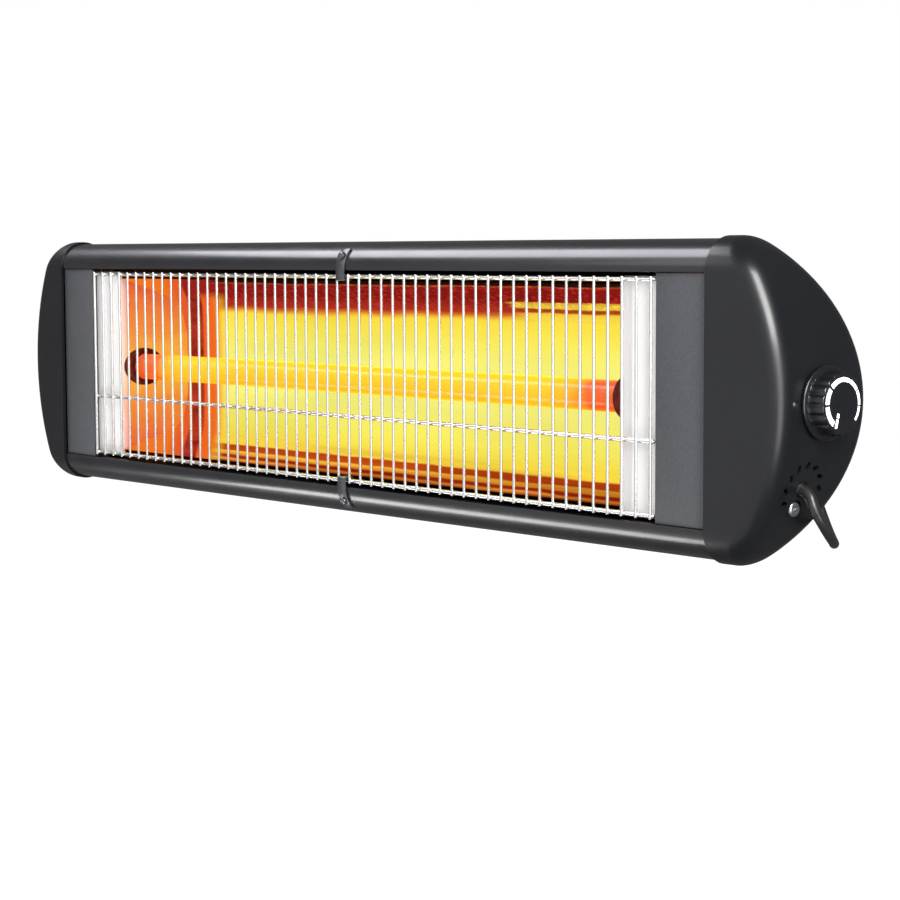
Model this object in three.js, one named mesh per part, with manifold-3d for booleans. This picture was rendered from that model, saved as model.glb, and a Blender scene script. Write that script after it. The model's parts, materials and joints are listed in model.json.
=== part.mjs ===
// Electric bar heater for a wall: a long D-shaped housing between two moulded end caps, with one
// quartz tube in a bright folded trough behind a wire guard, a control knob on the right end, and a
// steel wall rail that it tilts on. Millimetres, +Z up. X runs along the heater (the knob is at +X),
// the front faces -Y, and the origin is on the wall, at the middle of the rail's back face.
import * as THREE from "three";
import { mergeVertices } from "three/addons/utils/BufferGeometryUtils.js";
import Module from "manifold-3d";

const wasm = await Module();
wasm.setup();

// ---- Driving dimensions -------------------------------------------------------------------------
const CLEAR = 0.3; // gap between pieces that touch

// Housing. The heater's own frame has Y = 0 on the plane of the guard wires, and Z = 0 at mid height.
const BODY_LENGTH = 703; // between the two end caps' seams
const CAP_HEIGHT = 193.4;
const CAP_FRONT = -3.2; // the caps' front face stands this far proud of the guard plane
const CAP_DEPTH = 85.2; // front face to the back of the curve
const CORNER_RADIUS = 22.1; // the front corner turns right up to the shoulder
const SHOULDER_RADIUS = 24; // where the back curve meets the top and the bottom
const CAP_PROUD = 1.7; // the caps stand this far outside the sheet casing
const CAP_WIDTH = 53.4; // seam to the end face, at mid height
const CAP_TOP_WIDTH = 21.4; // seam to the end face, at the top and the bottom
const CAP_WALL = 2.5;
const CAP_LEAN = 3.2; // the cap's front face runs back this far over its width
const CREASE_RADIUS = 14; // rounding between a cap's front and its end face
const CAP_BACK_ROUND = 9;
const CAP_LIP = 8; // length of the lip inside the casing
const CAP_LIP_WALL = 1.6;
const SHEET = 1.6; // casing sheet
const RAIL_WALL = 2.2;
const RAIL_LIP_DEPTH = 9.5;
const RAIL_TONGUE_ANGLE = 32; // degrees of arc under the casing's edge
const RAIL_EDGE_RISE = 0.6; // the window's edge above the start of the front corner

// Window, guard and side plates
const PLATE_WIDTH = 41.7; // seam to the window
const PLATE_SHEET = 1.4;
const PLATE_RETURN = 7; // depth of the bent edge beside the window
const WIRE_PITCH = 12;
const WIRE_DIAMETER = 2;
const WIRE_END_GAP = 2.2; // to the rails
const ROD_DIAMETER = 3;
const ROD_END_GAP = 1.8; // to the side plates
const ROD_EDGE = 2; // the outer rods lie this far inside the wires' ends
const MIDDLE_ROD_Z = -26;
const GUARD_CLIP_X = 12;
const GUARD_CLIP_WIDTH = 8.4;
const GUARD_CLIP_SHEET = 1.1;
const GUARD_CLIP_ANGLE = 48; // degrees of the rail's curve that the clip follows

// Reflector and heating tube
const MIRROR_SHEET = 0.9;
const MIRROR_FRONT = 6; // front edge behind the guard plane
const MIRROR_FOLDS = [[6, 7.5], [43, 23.5], [49, 30.5], [53, 51.5]]; // depth, below the window's edge
const MIRROR_STRIP_WIDTH = 32.8; // the folded end strips
const MIRROR_END_LEAN = 22.5; // the trough's end walls lean in this far
const MIRROR_EDGE = 2.5; // the strips end this far inside the window's edge
const TUBE_Y = 22;
const TUBE_DIAMETER = 20;
const TUBE_BORE = 17;
const TUBE_OVERRUN = 1.5; // the tube ends this far outside the trough's mouth
const COIL_DIAMETER = 9;
const COLD_END = 18; // the tube's ends without a winding
const HOLDER_DIAMETER = 29;
const HOLDER_LENGTH = 27;
const HOLDER_SOCKET = 13;
const HOLDER_SLACK = 1; // room for the tube to grow when hot
const STUD_DIAMETER = 4;
const STUD_PROUD = 10; // the studs stand out of the holders
const CUTOUT_DIAMETER = 16;
const CUTOUT_LENGTH = 7;
const CUTOUT_X = 150;

// End frames, inside the casing at each seam
const FRAME_SHEET = 1.2;
const FRAME_INSET = 5.8;
const FRAME_OFFSET = 2; // its outer face inside the seam

// Right-hand controls
const KNOB_Y = 42;
const KNOB_DIAMETER = 38.4;
const KNOB_FLANGE_DIAMETER = 44;
const KNOB_FLANGE = 2.2;
const KNOB_HEIGHT = 12.3;
const KNOB_FLUTES = 18;
const KNOB_GAP = 0.5; // running gap to the cap
const SHAFT_DIAMETER = 6;
const BUSH_DIAMETER = 9;
const NUT_ACROSS = 13;
const NUT_THICK = 2.4;
const REGULATOR_SIZE = 36;
const REGULATOR_LENGTH = 24;
const GLAND_Y = 31; // where the cord leaves the right cap
const GLAND_Z = -50;
const VENT_Y = 31.8;
const VENT_Z = -50.3;
const VENT_RADIUS = 14.6;
const VENT_COUNT = 9;
const VENT_STEP = 30; // degrees
const VENT_LENGTH = 5;
const VENT_WIDTH = 2.6;
const CAP_SCREW_Y = 29.4;
const CAP_SCREW_Z = -61.5;
const CAP_SCREW_HEAD = 9;
const CAP_SCREW_SHANK = 3.8;
const CAP_SCREW_SINK = 1.55; // the flat seat under the head, below the end face
const CAP_SCREW_BITE = 3.5; // beyond the end frame
const BLOCK_LENGTH = 15;

// Wall rail and tilting brackets
const PIVOT_BEHIND = 32; // the pivot behind the casing's back
const PIVOT_TO_WALL = 34;
const BRACKET_TO_SEAM = 91.5; // from the middle of each bracket
const LUG_SPAN = 66; // outside of the two lugs
const LUG_SHEET = 3;
const LUG_HALF_HEIGHT = 10;
const LUG_FOOT_HALF = 16;
const LUG_FOOT_SHEET = 2.5;
const LUG_SCREW_X = 14; // each side of the bracket's middle
const BOLT_DIAMETER = 6;
const BOLT_HEAD_ACROSS = 10;
const BOLT_HEAD = 4;
const BOLT_NUT = 5;
const FLANGE_DIAMETER = 13;
const FLANGE_THICK = 1.4;
const RAIL_TO_SEAM = 31.5; // the wall rail is shorter than the housing
const WALL_RAIL_HEIGHT = 38;
const WALL_RAIL_SHEET = 2.5;
const EAR_FOOT = 22;
const KEYHOLE_EDGE = 14; // from the wall rail's ends
const KEYHOLE_STEP = 136; // between the two at each end
const KEYHOLE_DIAMETER = 8;
const KEYHOLE_SLOT = 4.4;

// Supply cord. The strain relief's points are measured from its exit; the cord's own points lie in
// the wall's frame.
const CORD_DIAMETER = 6;
const CORD_SIDES = 8;
const GLAND_ROUTE = [
  [-5.6, 0, 2],
  [0.1, 0, 0],
  [3.5, 0, -1.3],
  [7, -0.4, -4.4],
  [9.1, -0.8, -8.6],
  [10.2, -0.2, -11.4],
  [10.9, 0.85, -13.55],
];
const CORD_ROUTE = [
  [407.5, -116, -63.87],
  [408.6, -114.2, -67.2],
  [409.2, -110.8, -72],
  [408.4, -105.6, -76.9],
  [405.9, -99.4, -80.6],
  [401.6, -93, -82.9],
  [396, -86.4, -83.9],
  [389.6, -80.2, -82.6],
  [383.1, -75.4, -78.9],
  [377, -72.1, -72.9],
  [371.4, -70.2, -64.8],
  [366.4, -69.4, -55.2],
  [361.6, -68.3, -44.8],
  [356.8, -66.4, -34.2],
  [351.4, -63.6, -23],
  [344.8, -60.2, -10.6],
  [337.4, -57.2, 0],
  [330, -55.3, 7.3],
  [323.6, -54.7, 11.9],
  [319, -54.5, 13.15],
  [316.35, -54.5, 13.3],
];
const HANK_RUN = 100; // straight length of a run
const HANK_Y = -36.5;
const HANK_HALF = 18; // radius of the folds
const HANK_WAIST = 5; // how far each run is drawn in at the tie
const HANK_LAYERS = 4;
const HANK_PITCH = 6.6;
const HANK_BOTTOM = 13.3; // centre line of the lowest layer
const HANK_STEPS = 24; // steps per loop
const HANK_SIDES = 6;
const PLUG_ROUTE = [
  [303.7, -54.5, 39.7],
  [297, -54.3, 40.1],
  [289, -52.8, 41.6],
  [280, -49.6, 44.4],
  [270, -45.4, 48.2],
  [260, -41.3, 51.7],
  [250, -38.2, 54],
  [242, -36.8, 54.9],
  [236.3, -36.5, 55],
];
const PLUG_DIAMETER = 37;
const PLUG_Z = 55;
const PLUG_BACK = 236;
const PLUG_LENGTH = 54;
const PIN_DIAMETER = 4.8;
const PIN_LENGTH = 19;
const PIN_SPACING = 19;
const TIE_WIDTH = 4;
const TIE_THICK = 1.2;

// ---- Derived places -----------------------------------------------------------------------------
const BACK_Y = CAP_FRONT + CAP_DEPTH;
const PIVOT_Y = BACK_Y + PIVOT_BEHIND; // in the heater's own frame
const WALL_Y = PIVOT_Y + PIVOT_TO_WALL; // the wall, in the heater's own frame
const SEAM = BODY_LENGTH / 2;
const HALF_HEIGHT = CAP_HEIGHT / 2;
const SHOULDER_Z = HALF_HEIGHT - SHOULDER_RADIUS;
const SHOULDER_Y = CAP_FRONT + CORNER_RADIUS;
const SHOULDER_DEPTH = BACK_Y - SHOULDER_Y;
// The long curve of the back touches both shoulders and reaches the full depth at mid height.
const BACK_RADIUS =
  (SHOULDER_DEPTH ** 2 + SHOULDER_Z ** 2 - SHOULDER_RADIUS ** 2) /
  (2 * (SHOULDER_DEPTH - SHOULDER_RADIUS));
const BACK_CENTRE = BACK_Y - BACK_RADIUS;
const CORNER_Z = HALF_HEIGHT - CORNER_RADIUS;
const CASING_INSET = CAP_PROUD;
const END_X = SEAM + CAP_WIDTH;
const CAP_TAPER = CAP_WIDTH - CAP_TOP_WIDTH;
const CAP_END_ARC = (HALF_HEIGHT ** 2 + CAP_TAPER ** 2) / (2 * CAP_TAPER); // seen from the front
const WINDOW_X = SEAM - PLATE_WIDTH;
const WINDOW_EDGE = CORNER_Z + RAIL_EDGE_RISE; // half height of the window, to the rails' lips
const RAIL_FRONT = CAP_FRONT + CASING_INSET;
const WIRE_TOP = WINDOW_EDGE - WIRE_END_GAP;
const WIRE_COUNT = 1 + Math.floor((2 * WINDOW_X - 2 * WIRE_DIAMETER) / WIRE_PITCH);
const ROD_REACH = WINDOW_X - ROD_END_GAP;
const ROD_TOP = WIRE_TOP - ROD_EDGE;
const MIRROR_PROFILE = MIRROR_FOLDS.map(([depth, below]) => [depth, WINDOW_EDGE - below]);
const MIRROR_FLANGE_END = WINDOW_X - CLEAR - 0.2; // outer edge of the folded end strips
const MIRROR_MOUTH = MIRROR_FLANGE_END - MIRROR_STRIP_WIDTH; // half length of the trough's front
const MIRROR_FLOOR = MIRROR_MOUTH - MIRROR_END_LEAN; // half length of the trough's back
const MIRROR_STRIP_HALF = WINDOW_EDGE - MIRROR_EDGE;
const TUBE_END = MIRROR_MOUTH + TUBE_OVERRUN;
const COIL_END = TUBE_END - COLD_END;
const HOLDER_TIP = TUBE_END - HOLDER_SOCKET + HOLDER_SLACK; // inner face of each ceramic holder
const HOLDER_END = HOLDER_TIP + HOLDER_LENGTH;
const STUD_END = HOLDER_END + STUD_PROUD;
const BRACKET_X = SEAM - BRACKET_TO_SEAM;
const RAIL_REACH = SEAM - RAIL_TO_SEAM;
const KEYHOLES = [-1, 1].flatMap((side) =>
  [RAIL_REACH - KEYHOLE_EDGE, RAIL_REACH - KEYHOLE_EDGE - KEYHOLE_STEP].map((x) => side * x));
const BEYOND = BODY_LENGTH; // further out than any piece

// ---- Materials ----------------------------------------------------------------------------------
const finish = (color, roughness, metalness, extra = {}) =>
  new THREE.MeshStandardMaterial({ color, roughness, metalness, ...extra });
const SATIN_BLACK = [0x1c1d20, 0.35, 0.2];
const MOULDED_BLACK = [0x1a1a1c, 0.5, 0];
const PLATE_GREY = [0x3c3f44, 0.6, 0.3];
const CHROME = [0xe4e4e6, 0.18, 1];
const MIRROR = [0xe9e6e0, 0.12, 1];
const STEEL = [0xa9abae, 0.35, 1];
const CERAMIC = [0x3a2621, 0.8, 0];
const RUBBER = [0x161617, 0.6, 0];
const COPPER = [0xb87333, 0.35, 1];
const BAKELITE = [0x2a2725, 0.5, 0];

// ---- Solids -------------------------------------------------------------------------------------
function solidOf(geometry) {
  const bare = geometry.index ? geometry.toNonIndexed() : geometry.clone();
  bare.deleteAttribute("normal");
  bare.deleteAttribute("uv");
  const merged = mergeVertices(bare, 1e-4);
  return new wasm.Manifold(
    new wasm.Mesh({
      numProp: 3,
      vertProperties: merged.attributes.position.array,
      triVerts: new Uint32Array(merged.index.array),
    }),
  );
}

function geometryOf(solid) {
  const mesh = solid.getMesh();
  const points = new Float32Array(mesh.numVert * 3);
  for (let i = 0; i < mesh.numVert; i++) {
    const at = i * mesh.numProp;
    points.set(mesh.vertProperties.subarray(at, at + 3), i * 3);
  }
  const geometry = new THREE.BufferGeometry();
  geometry.setAttribute("position", new THREE.BufferAttribute(points, 3));
  geometry.setIndex(new THREE.BufferAttribute(new Uint32Array(mesh.triVerts), 1));
  geometry.computeVertexNormals();
  return geometry;
}

const join = (...solids) => solids.reduce((whole, piece) => whole.add(piece));
const cut = (whole, ...tools) => tools.reduce((rest, tool) => rest.subtract(tool), whole);

// An outline extruded along X; its points are [y, z].
function prismX(outline, from, to) {
  const shape = new THREE.Shape(outline.map(([y, z]) => new THREE.Vector2(y, z)));
  const geometry = new THREE.ExtrudeGeometry(shape, { depth: to - from, bevelEnabled: false });
  const turn = new THREE.Matrix4().makeBasis(
    new THREE.Vector3(0, 1, 0),
    new THREE.Vector3(0, 0, 1),
    new THREE.Vector3(1, 0, 0),
  );
  return solidOf(geometry.applyMatrix4(turn).translate(from, 0, 0));
}

// An outline extruded along Z; its points are [x, y].
function prismZ(outline, from, to) {
  const shape = new THREE.Shape(outline.map(([x, y]) => new THREE.Vector2(x, y)));
  const geometry = new THREE.ExtrudeGeometry(shape, { depth: to - from, bevelEnabled: false });
  return solidOf(geometry.translate(0, 0, from));
}

function block(x0, x1, y0, y1, z0, z1) {
  const geometry = new THREE.BoxGeometry(x1 - x0, y1 - y0, z1 - z0);
  return solidOf(geometry.translate((x0 + x1) / 2, (y0 + y1) / 2, (z0 + z1) / 2));
}

function rodX(y, z, diameter, from, to, sides = 16, tipDiameter = diameter) {
  const geometry = new THREE.CylinderGeometry(tipDiameter / 2, diameter / 2, to - from, sides);
  return solidOf(geometry.rotateZ(-Math.PI / 2).translate((from + to) / 2, y, z));
}

function rodY(x, z, diameter, from, to, sides = 16) {
  const geometry = new THREE.CylinderGeometry(diameter / 2, diameter / 2, to - from, sides);
  return solidOf(geometry.translate(x, (from + to) / 2, z));
}

function rodZ(x, y, diameter, from, to, sides = 8) {
  const geometry = new THREE.CylinderGeometry(diameter / 2, diameter / 2, to - from, sides);
  return solidOf(geometry.rotateX(Math.PI / 2).translate(x, y, (from + to) / 2));
}

// A round tube of one diameter along a smooth curve through the given points.
function cordAlong(points, diameter, steps, sides = CORD_SIDES) {
  const section = new THREE.Shape(
    Array.from({ length: sides }, (_, i) => {
      const angle = (2 * Math.PI * i) / sides;
      return new THREE.Vector2(Math.cos(angle), Math.sin(angle)).multiplyScalar(diameter / 2);
    }),
  );
  const path = new THREE.CatmullRomCurve3(points.map((p) => new THREE.Vector3(...p)));
  const options = { steps, extrudePath: path, bevelEnabled: false };
  return solidOf(new THREE.ExtrudeGeometry(section, options));
}

// The flat cover of a ring's end, in strips between the points that share a step up the section.
function endFaces(base, half, reversed) {
  const faces = [];
  for (let i = 0; i < half; i++) {
    const corners = [i, i + 1, 2 * half - i - 1, (2 * half - i) % (2 * half)];
    const loop = [...new Set(corners)].map((k) => base + k);
    if (reversed) loop.reverse();
    for (let k = 1; k < loop.length - 1; k++) faces.push(loop[0], loop[k], loop[k + 1]);
  }
  return faces;
}

// A closed skin over rings of [x, y, z] points, from low x to high x. Each ring runs up its front
// and down its back, and its first and middle points lie at the bottom and at the top.
function skinOver(rings) {
  const count = rings[0].length;
  const faces = endFaces(0, count / 2, false);
  for (let ring = 0; ring < rings.length - 1; ring++)
    for (let i = 0; i < count; i++) {
      const a = ring * count + i;
      const b = ring * count + ((i + 1) % count);
      faces.push(a, a + count, b + count, a, b + count, b);
    }
  faces.push(...endFaces((rings.length - 1) * count, count / 2, true));
  const geometry = new THREE.BufferGeometry();
  geometry.setAttribute("position", new THREE.Float32BufferAttribute(rings.flat(2), 3));
  geometry.setIndex(faces);
  return solidOf(geometry);
}

// A tube over a list of centre points with a radius at each, as one closed body.
function tubeOver(points, radii, sides) {
  const centres = points.map((p) => new THREE.Vector3(...p));
  const last = centres.length - 1;
  const heading = (i) =>
    centres[Math.min(i + 1, last)].clone().sub(centres[Math.max(i - 1, 0)]).normalize();
  const across = new THREE.Vector3(0, 0, 1).cross(heading(0)).normalize();
  const vertices = [];
  centres.forEach((centre, i) => {
    const along = heading(i);
    across.addScaledVector(along, -across.dot(along)).normalize();
    const upward = along.clone().cross(across);
    for (let k = 0; k < sides; k++) {
      const angle = (2 * Math.PI * k) / sides;
      const rim = centre.clone().addScaledVector(across, radii[i] * Math.cos(angle));
      vertices.push(...rim.addScaledVector(upward, radii[i] * Math.sin(angle)).toArray());
    }
  });
  const faces = [];
  for (let i = 0; i < last; i++)
    for (let k = 0; k < sides; k++) {
      const a = i * sides + k;
      const b = i * sides + ((k + 1) % sides);
      faces.push(a, b, b + sides, a, b + sides, a + sides);
    }
  for (let k = 1; k < sides - 1; k++) {
    faces.push(0, k + 1, k);
    faces.push(last * sides, last * sides + k, last * sides + k + 1);
  }
  const geometry = new THREE.BufferGeometry();
  geometry.setAttribute("position", new THREE.Float32BufferAttribute(vertices, 3));
  geometry.setIndex(faces);
  return geometry;
}

// A round pin between two points.
const pin = (from, to, diameter, sides = 12) =>
  solidOf(tubeOver([from, to], [diameter / 2, diameter / 2], sides));

// Points part of the way along a line.
const along = (from, toward, distance) => from.map((value, i) => value + toward[i] * distance);

function hexRod(y, z, across, from, to) {
  return rodX(y, z, across / Math.cos(Math.PI / 6), from, to, 6);
}

// A pan-head screw: its seat, the direction it is driven in, and its sizes.
function panScrew(seat, inward, head, headHeight, shank, length) {
  const outward = inward.map((value) => -value);
  const top = along(seat, outward, headHeight);
  const profile = [along(seat, outward, 0), along(seat, outward, headHeight * 0.6), top];
  const dome = solidOf(tubeOver(profile, [head / 2, head / 2, head * 0.36], 14));
  const stem = pin(along(seat, outward, headHeight * 0.3), along(seat, inward, length), shank, 10);
  const side = Math.abs(inward[0]) > 0.9 ? [0, 1, 0] : [1, 0, 0];
  const other = [
    inward[1] * side[2] - inward[2] * side[1],
    inward[2] * side[0] - inward[0] * side[2],
    inward[0] * side[1] - inward[1] * side[0],
  ];
  const deep = along(seat, outward, headHeight * 0.45);
  const slots = [side, other].map((way) => crossSlot(deep, top, way, outward, head));
  return cut(join(dome, stem), ...slots);
}

// One slot of a cross recess, as a thin slab between two depths.
function crossSlot(deep, top, way, outward, head) {
  const x = new THREE.Vector3(...way);
  const z = new THREE.Vector3(...outward);
  const y = z.clone().cross(x);
  const slab = new THREE.BoxGeometry(head * 0.5, head * 0.12, head);
  slab.translate(0, 0, head / 2);
  slab.applyMatrix4(new THREE.Matrix4().makeBasis(x, y, z).setPosition(...deep));
  return solidOf(slab);
}

// ---- The housing's section ----------------------------------------------------------------------
// Front and back of the D-shaped section at a height, drawn in by an inset.
function frontAt(z, inset) {
  const rise = Math.abs(z) - CORNER_Z;
  if (rise <= 0) return CAP_FRONT + inset;
  return SHOULDER_Y - Math.sqrt(Math.max(0, (CORNER_RADIUS - inset) ** 2 - rise ** 2));
}

function backAt(z, inset) {
  const arc = BACK_RADIUS - inset;
  const turn = (arc * SHOULDER_Z) / (BACK_RADIUS - SHOULDER_RADIUS);
  if (Math.abs(z) <= turn) return BACK_CENTRE + Math.sqrt(arc ** 2 - z ** 2);
  const rise = Math.abs(z) - SHOULDER_Z;
  return SHOULDER_Y + Math.sqrt(Math.max(0, (SHOULDER_RADIUS - inset) ** 2 - rise ** 2));
}

// The section's outline, up the front and down the back, with an inset for each of the two sides.
function section(insetAt, half = 20) {
  const points = [];
  for (let i = 0; i < 2 * half; i++) {
    const isFront = i <= half;
    const step = (isFront ? i : 2 * half - i) / half;
    const inset = insetAt(isFront, step);
    const z = (HALF_HEIGHT - inset) * Math.sin(Math.PI * (step - 0.5));
    points.push([isFront ? frontAt(z, inset) : backAt(z, inset), z]);
  }
  return points;
}

const slice = (inset, from, to) => prismX(section(() => inset), from, to);

// ---- End caps -----------------------------------------------------------------------------------
const endWidth = (z) => CAP_WIDTH - (CAP_END_ARC - Math.sqrt(CAP_END_ARC ** 2 - z ** 2));

const CAP_STEPS = 14; // points up the front of a cap's rings
const LIP_FROM = 33; // the lip runs round the back only, from this depth

// One skin of a cap: offset in from the outside, closed at the seam.
function capSkin(offset) {
  const radiusAt = (isFront, step) => {
    const middle = (CREASE_RADIUS + CAP_BACK_ROUND) / 2;
    const share = 1 - (2 * step - 1) ** 4;
    return middle + ((isFront ? CREASE_RADIUS : CAP_BACK_ROUND) - middle) * share - offset;
  };
  const ringAt = (sweep) => {
    const insetAt = (isFront, step) =>
      offset + (sweep === null ? 0 : radiusAt(isFront, step) * (1 - Math.cos(sweep)));
    return section(insetAt, CAP_STEPS).map(([y, z], i, all) => {
      const half = all.length / 2;
      const isFront = i <= half;
      const step = (isFront ? i : 2 * half - i) / half;
      const rounding = radiusAt(isFront, step);
      const width = endWidth(z) - offset;
      const out = sweep === null ? 0 : width - rounding * (1 - Math.sin(sweep));
      const lean = (CAP_LEAN * out * (CAP_FRONT + CAP_DEPTH - y)) / (CAP_WIDTH * CAP_DEPTH);
      return [SEAM + out, y + lean, z];
    });
  };
  const shares = offset > 0 ? [0, 0.35, 0.7, 1] : [0, 0.22, 0.44, 0.7, 1];
  const sweeps = shares.map((share) => (share * Math.PI) / 2);
  return skinOver([ringAt(null), ...sweeps.map(ringAt)]);
}

function capShell() {
  const hollow = capSkin(CAP_WALL);
  const behindSeam = slice(CAP_WALL, SEAM - 1, SEAM + 0.01);
  const lipOut = CASING_INSET + SHEET + CLEAR;
  const lipIn = lipOut + CAP_LIP_WALL;
  const backOnly = block(0, END_X, LIP_FROM, BEYOND, -BEYOND, BEYOND);
  const lip = cut(slice(lipOut, SEAM - CAP_LIP, SEAM + 4), slice(lipIn, 0, END_X));
  const step = cut(slice(1, SEAM + 0.6, SEAM + 4), slice(lipIn, 0, END_X));
  const shell = cut(capSkin(0), hollow, behindSeam);
  return join(shell, join(lip, step).intersect(backOnly));
}

// The post for the screw that holds a cap to its end frame.
const CAP_SCREW_SEAT = SEAM + endWidth(CAP_SCREW_Z) - CAP_SCREW_SINK;

function capWithPost() {
  const inner = endWidth(CAP_SCREW_Z) + SEAM - CAP_WALL / 2;
  const post = rodX(CAP_SCREW_Y, CAP_SCREW_Z, CAP_SCREW_HEAD + 0.2, SEAM - FRAME_OFFSET + CLEAR,
    inner, 20);
  const seat = rodX(CAP_SCREW_Y, CAP_SCREW_Z, CAP_SCREW_HEAD + 1.6, CAP_SCREW_SEAT, END_X, 24);
  const bore = rodX(CAP_SCREW_Y, CAP_SCREW_Z, CAP_SCREW_SHANK + 2 * CLEAR, 0, END_X, 12);
  return cut(join(capShell(), post), seat, bore);
}

function ventSlots() {
  const slots = [];
  for (let i = 0; i < VENT_COUNT; i++) {
    const angle = THREE.MathUtils.degToRad((i - (VENT_COUNT - 1) / 2) * VENT_STEP);
    const half = (VENT_LENGTH - VENT_WIDTH) / 2;
    const tilt = angle + Math.PI / 4;
    const outline = [];
    for (let k = 0; k < 8; k++) {
      const turn = (2 * Math.PI * (k + 0.5)) / 8;
      const end = Math.sin(turn) > 0 ? half : -half;
      const a = (Math.cos(turn) * VENT_WIDTH) / 2;
      const b = (Math.sin(turn) * VENT_WIDTH) / 2 + end;
      const y = VENT_Y + VENT_RADIUS * Math.sin(angle) + a * Math.cos(tilt) + b * Math.sin(tilt);
      const z = VENT_Z + VENT_RADIUS * Math.cos(angle) - a * Math.sin(tilt) + b * Math.cos(tilt);
      outline.push([y, z]);
    }
    slots.push(prismX(outline, END_X - 26, END_X));
  }
  return slots;
}

const GLAND_SLOPE = GLAND_Z / Math.sqrt(CAP_END_ARC ** 2 - GLAND_Z ** 2);
const GLAND_AXIS = new THREE.Vector3(1, 0, GLAND_SLOPE).normalize().toArray();
const GLAND_EXIT = [SEAM + endWidth(GLAND_Z), GLAND_Y, GLAND_Z];
const GLAND_NECK = 9;

function rightEndCap() {
  const shaftHole = rodX(KNOB_Y, 0, BUSH_DIAMETER + 2 * CLEAR, SEAM + 20, END_X + 9, 24);
  const gland = [along(GLAND_EXIT, GLAND_AXIS, -9), along(GLAND_EXIT, GLAND_AXIS, 9)];
  const cordHole = pin(...gland, GLAND_NECK + 2 * CLEAR, 20);
  return cut(capWithPost(), shaftHole, cordHole, ...ventSlots());
}

// ---- Casing, rails, side plates and end frames --------------------------------------------------
function rearCasing() {
  const length = SEAM - CLEAR;
  const skin = cut(
    slice(CASING_INSET, -length, length),
    slice(CASING_INSET + SHEET, -END_X, END_X),
  ).intersect(block(-END_X, END_X, SHOULDER_Y + CLEAR, BEYOND, -BEYOND, BEYOND));
  return cut(skin, ...lugScrewHoles());
}

function arcPoints(y, z, radius, fromAngle, toAngle, steps) {
  return Array.from({ length: steps + 1 }, (_, i) => {
    const angle = THREE.MathUtils.degToRad(fromAngle + ((toAngle - fromAngle) * i) / steps);
    return [y + radius * Math.cos(angle), z + radius * Math.sin(angle)];
  });
}

function arcBand(y, z, outer, inner, fromAngle, toAngle, steps, reach) {
  const outline = [
    ...arcPoints(y, z, outer, fromAngle, toAngle, steps),
    ...arcPoints(y, z, inner, toAngle, fromAngle, steps),
  ];
  return prismX(outline, -reach, reach);
}

// The folded rail above the window: front curve, lip beside the window, tongue under the casing.
function topRail() {
  const length = SEAM - CLEAR;
  const outer = CORNER_RADIUS - CASING_INSET;
  const curve = arcBand(SHOULDER_Y, CORNER_Z, outer, outer - RAIL_WALL, 90, 179, 12, length);
  const edge = WINDOW_EDGE;
  const lip = block(-length, length, RAIL_FRONT, RAIL_FRONT + RAIL_LIP_DEPTH, edge, edge + SHEET);
  const tuck = SHOULDER_RADIUS - CASING_INSET - SHEET - CLEAR;
  const tongue = arcBand(SHOULDER_Y, SHOULDER_Z, tuck, tuck - SHEET, 90 - RAIL_TONGUE_ANGLE, 98, 6,
    length);
  const seam = block(-length, length, SHOULDER_Y - 5, SHOULDER_Y, SHOULDER_Z + tuck - SHEET,
    SHOULDER_Z + tuck + 0.6);
  const rail = join(curve, lip, tongue, seam);
  const trimmed = rail.intersect(block(-length, length, -BEYOND, BEYOND, edge, BEYOND));
  const at = clipSeat(CLEAR);
  const hole = pin(along(at, CLIP_INWARD, -3), along(at, CLIP_INWARD, 9), CLIP_SHANK + 2 * CLEAR);
  return cut(trimmed, hole);
}

const flipZ = (solid) => solid.mirror([0, 0, 1]);
const flipX = (solid) => solid.mirror([1, 0, 0]);

function sidePlate() {
  const half = WINDOW_EDGE - CLEAR;
  const face = block(WINDOW_X, SEAM - 0.5, 0, PLATE_SHEET, -half, half);
  const bend = block(WINDOW_X, WINDOW_X + PLATE_SHEET, 0, PLATE_SHEET + PLATE_RETURN, -half, half);
  return join(face, bend);
}

// The sheet inside the casing at a seam, with its holes for the wires and the cap screw.
function endFrame(wireHoles) {
  const outer = SEAM - FRAME_OFFSET;
  const inner = outer - FRAME_SHEET;
  const plate = slice(FRAME_INSET, inner, outer);
  const front = block(inner, outer, PLATE_SHEET + CLEAR, 30, -CORNER_Z, CORNER_Z);
  const depth = RAIL_FRONT + RAIL_LIP_DEPTH + CLEAR;
  const low = WINDOW_EDGE - CLEAR;
  const high = WINDOW_EDGE + SHEET + CLEAR;
  const notch = block(0, END_X, -BEYOND, depth, low, high);
  const holes = wireHoles.map(([y, z]) => rodX(y, z, 7, 0, END_X, 16));
  const screw = rodX(CAP_SCREW_Y, CAP_SCREW_Z, CAP_SCREW_SHANK + 2 * CLEAR, 0, END_X, 12);
  return cut(join(plate, front), notch, flipZ(notch), screw, ...holes);
}

// ---- Guard --------------------------------------------------------------------------------------
function wireGuard() {
  const wires = [];
  const rodY0 = (WIRE_DIAMETER + ROD_DIAMETER) / 2 - CLEAR; // welded: the rods bite into the wires
  for (const z of [ROD_TOP, MIDDLE_ROD_Z, -ROD_TOP])
    wires.push(rodX(rodY0, z, ROD_DIAMETER, -ROD_REACH, ROD_REACH, 6));
  for (let i = 0; i < WIRE_COUNT; i++) {
    const x = (i - (WIRE_COUNT - 1) / 2) * WIRE_PITCH;
    wires.push(rodZ(x, 0, WIRE_DIAMETER, -WIRE_TOP, WIRE_TOP, 6));
  }
  return wasm.Manifold.union(wires);
}

const CLIP_SHANK = 3;
const CLIP_LIFT = THREE.MathUtils.degToRad(29);
const CLIP_INWARD = [0, Math.cos(CLIP_LIFT), -Math.sin(CLIP_LIFT)];

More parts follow.
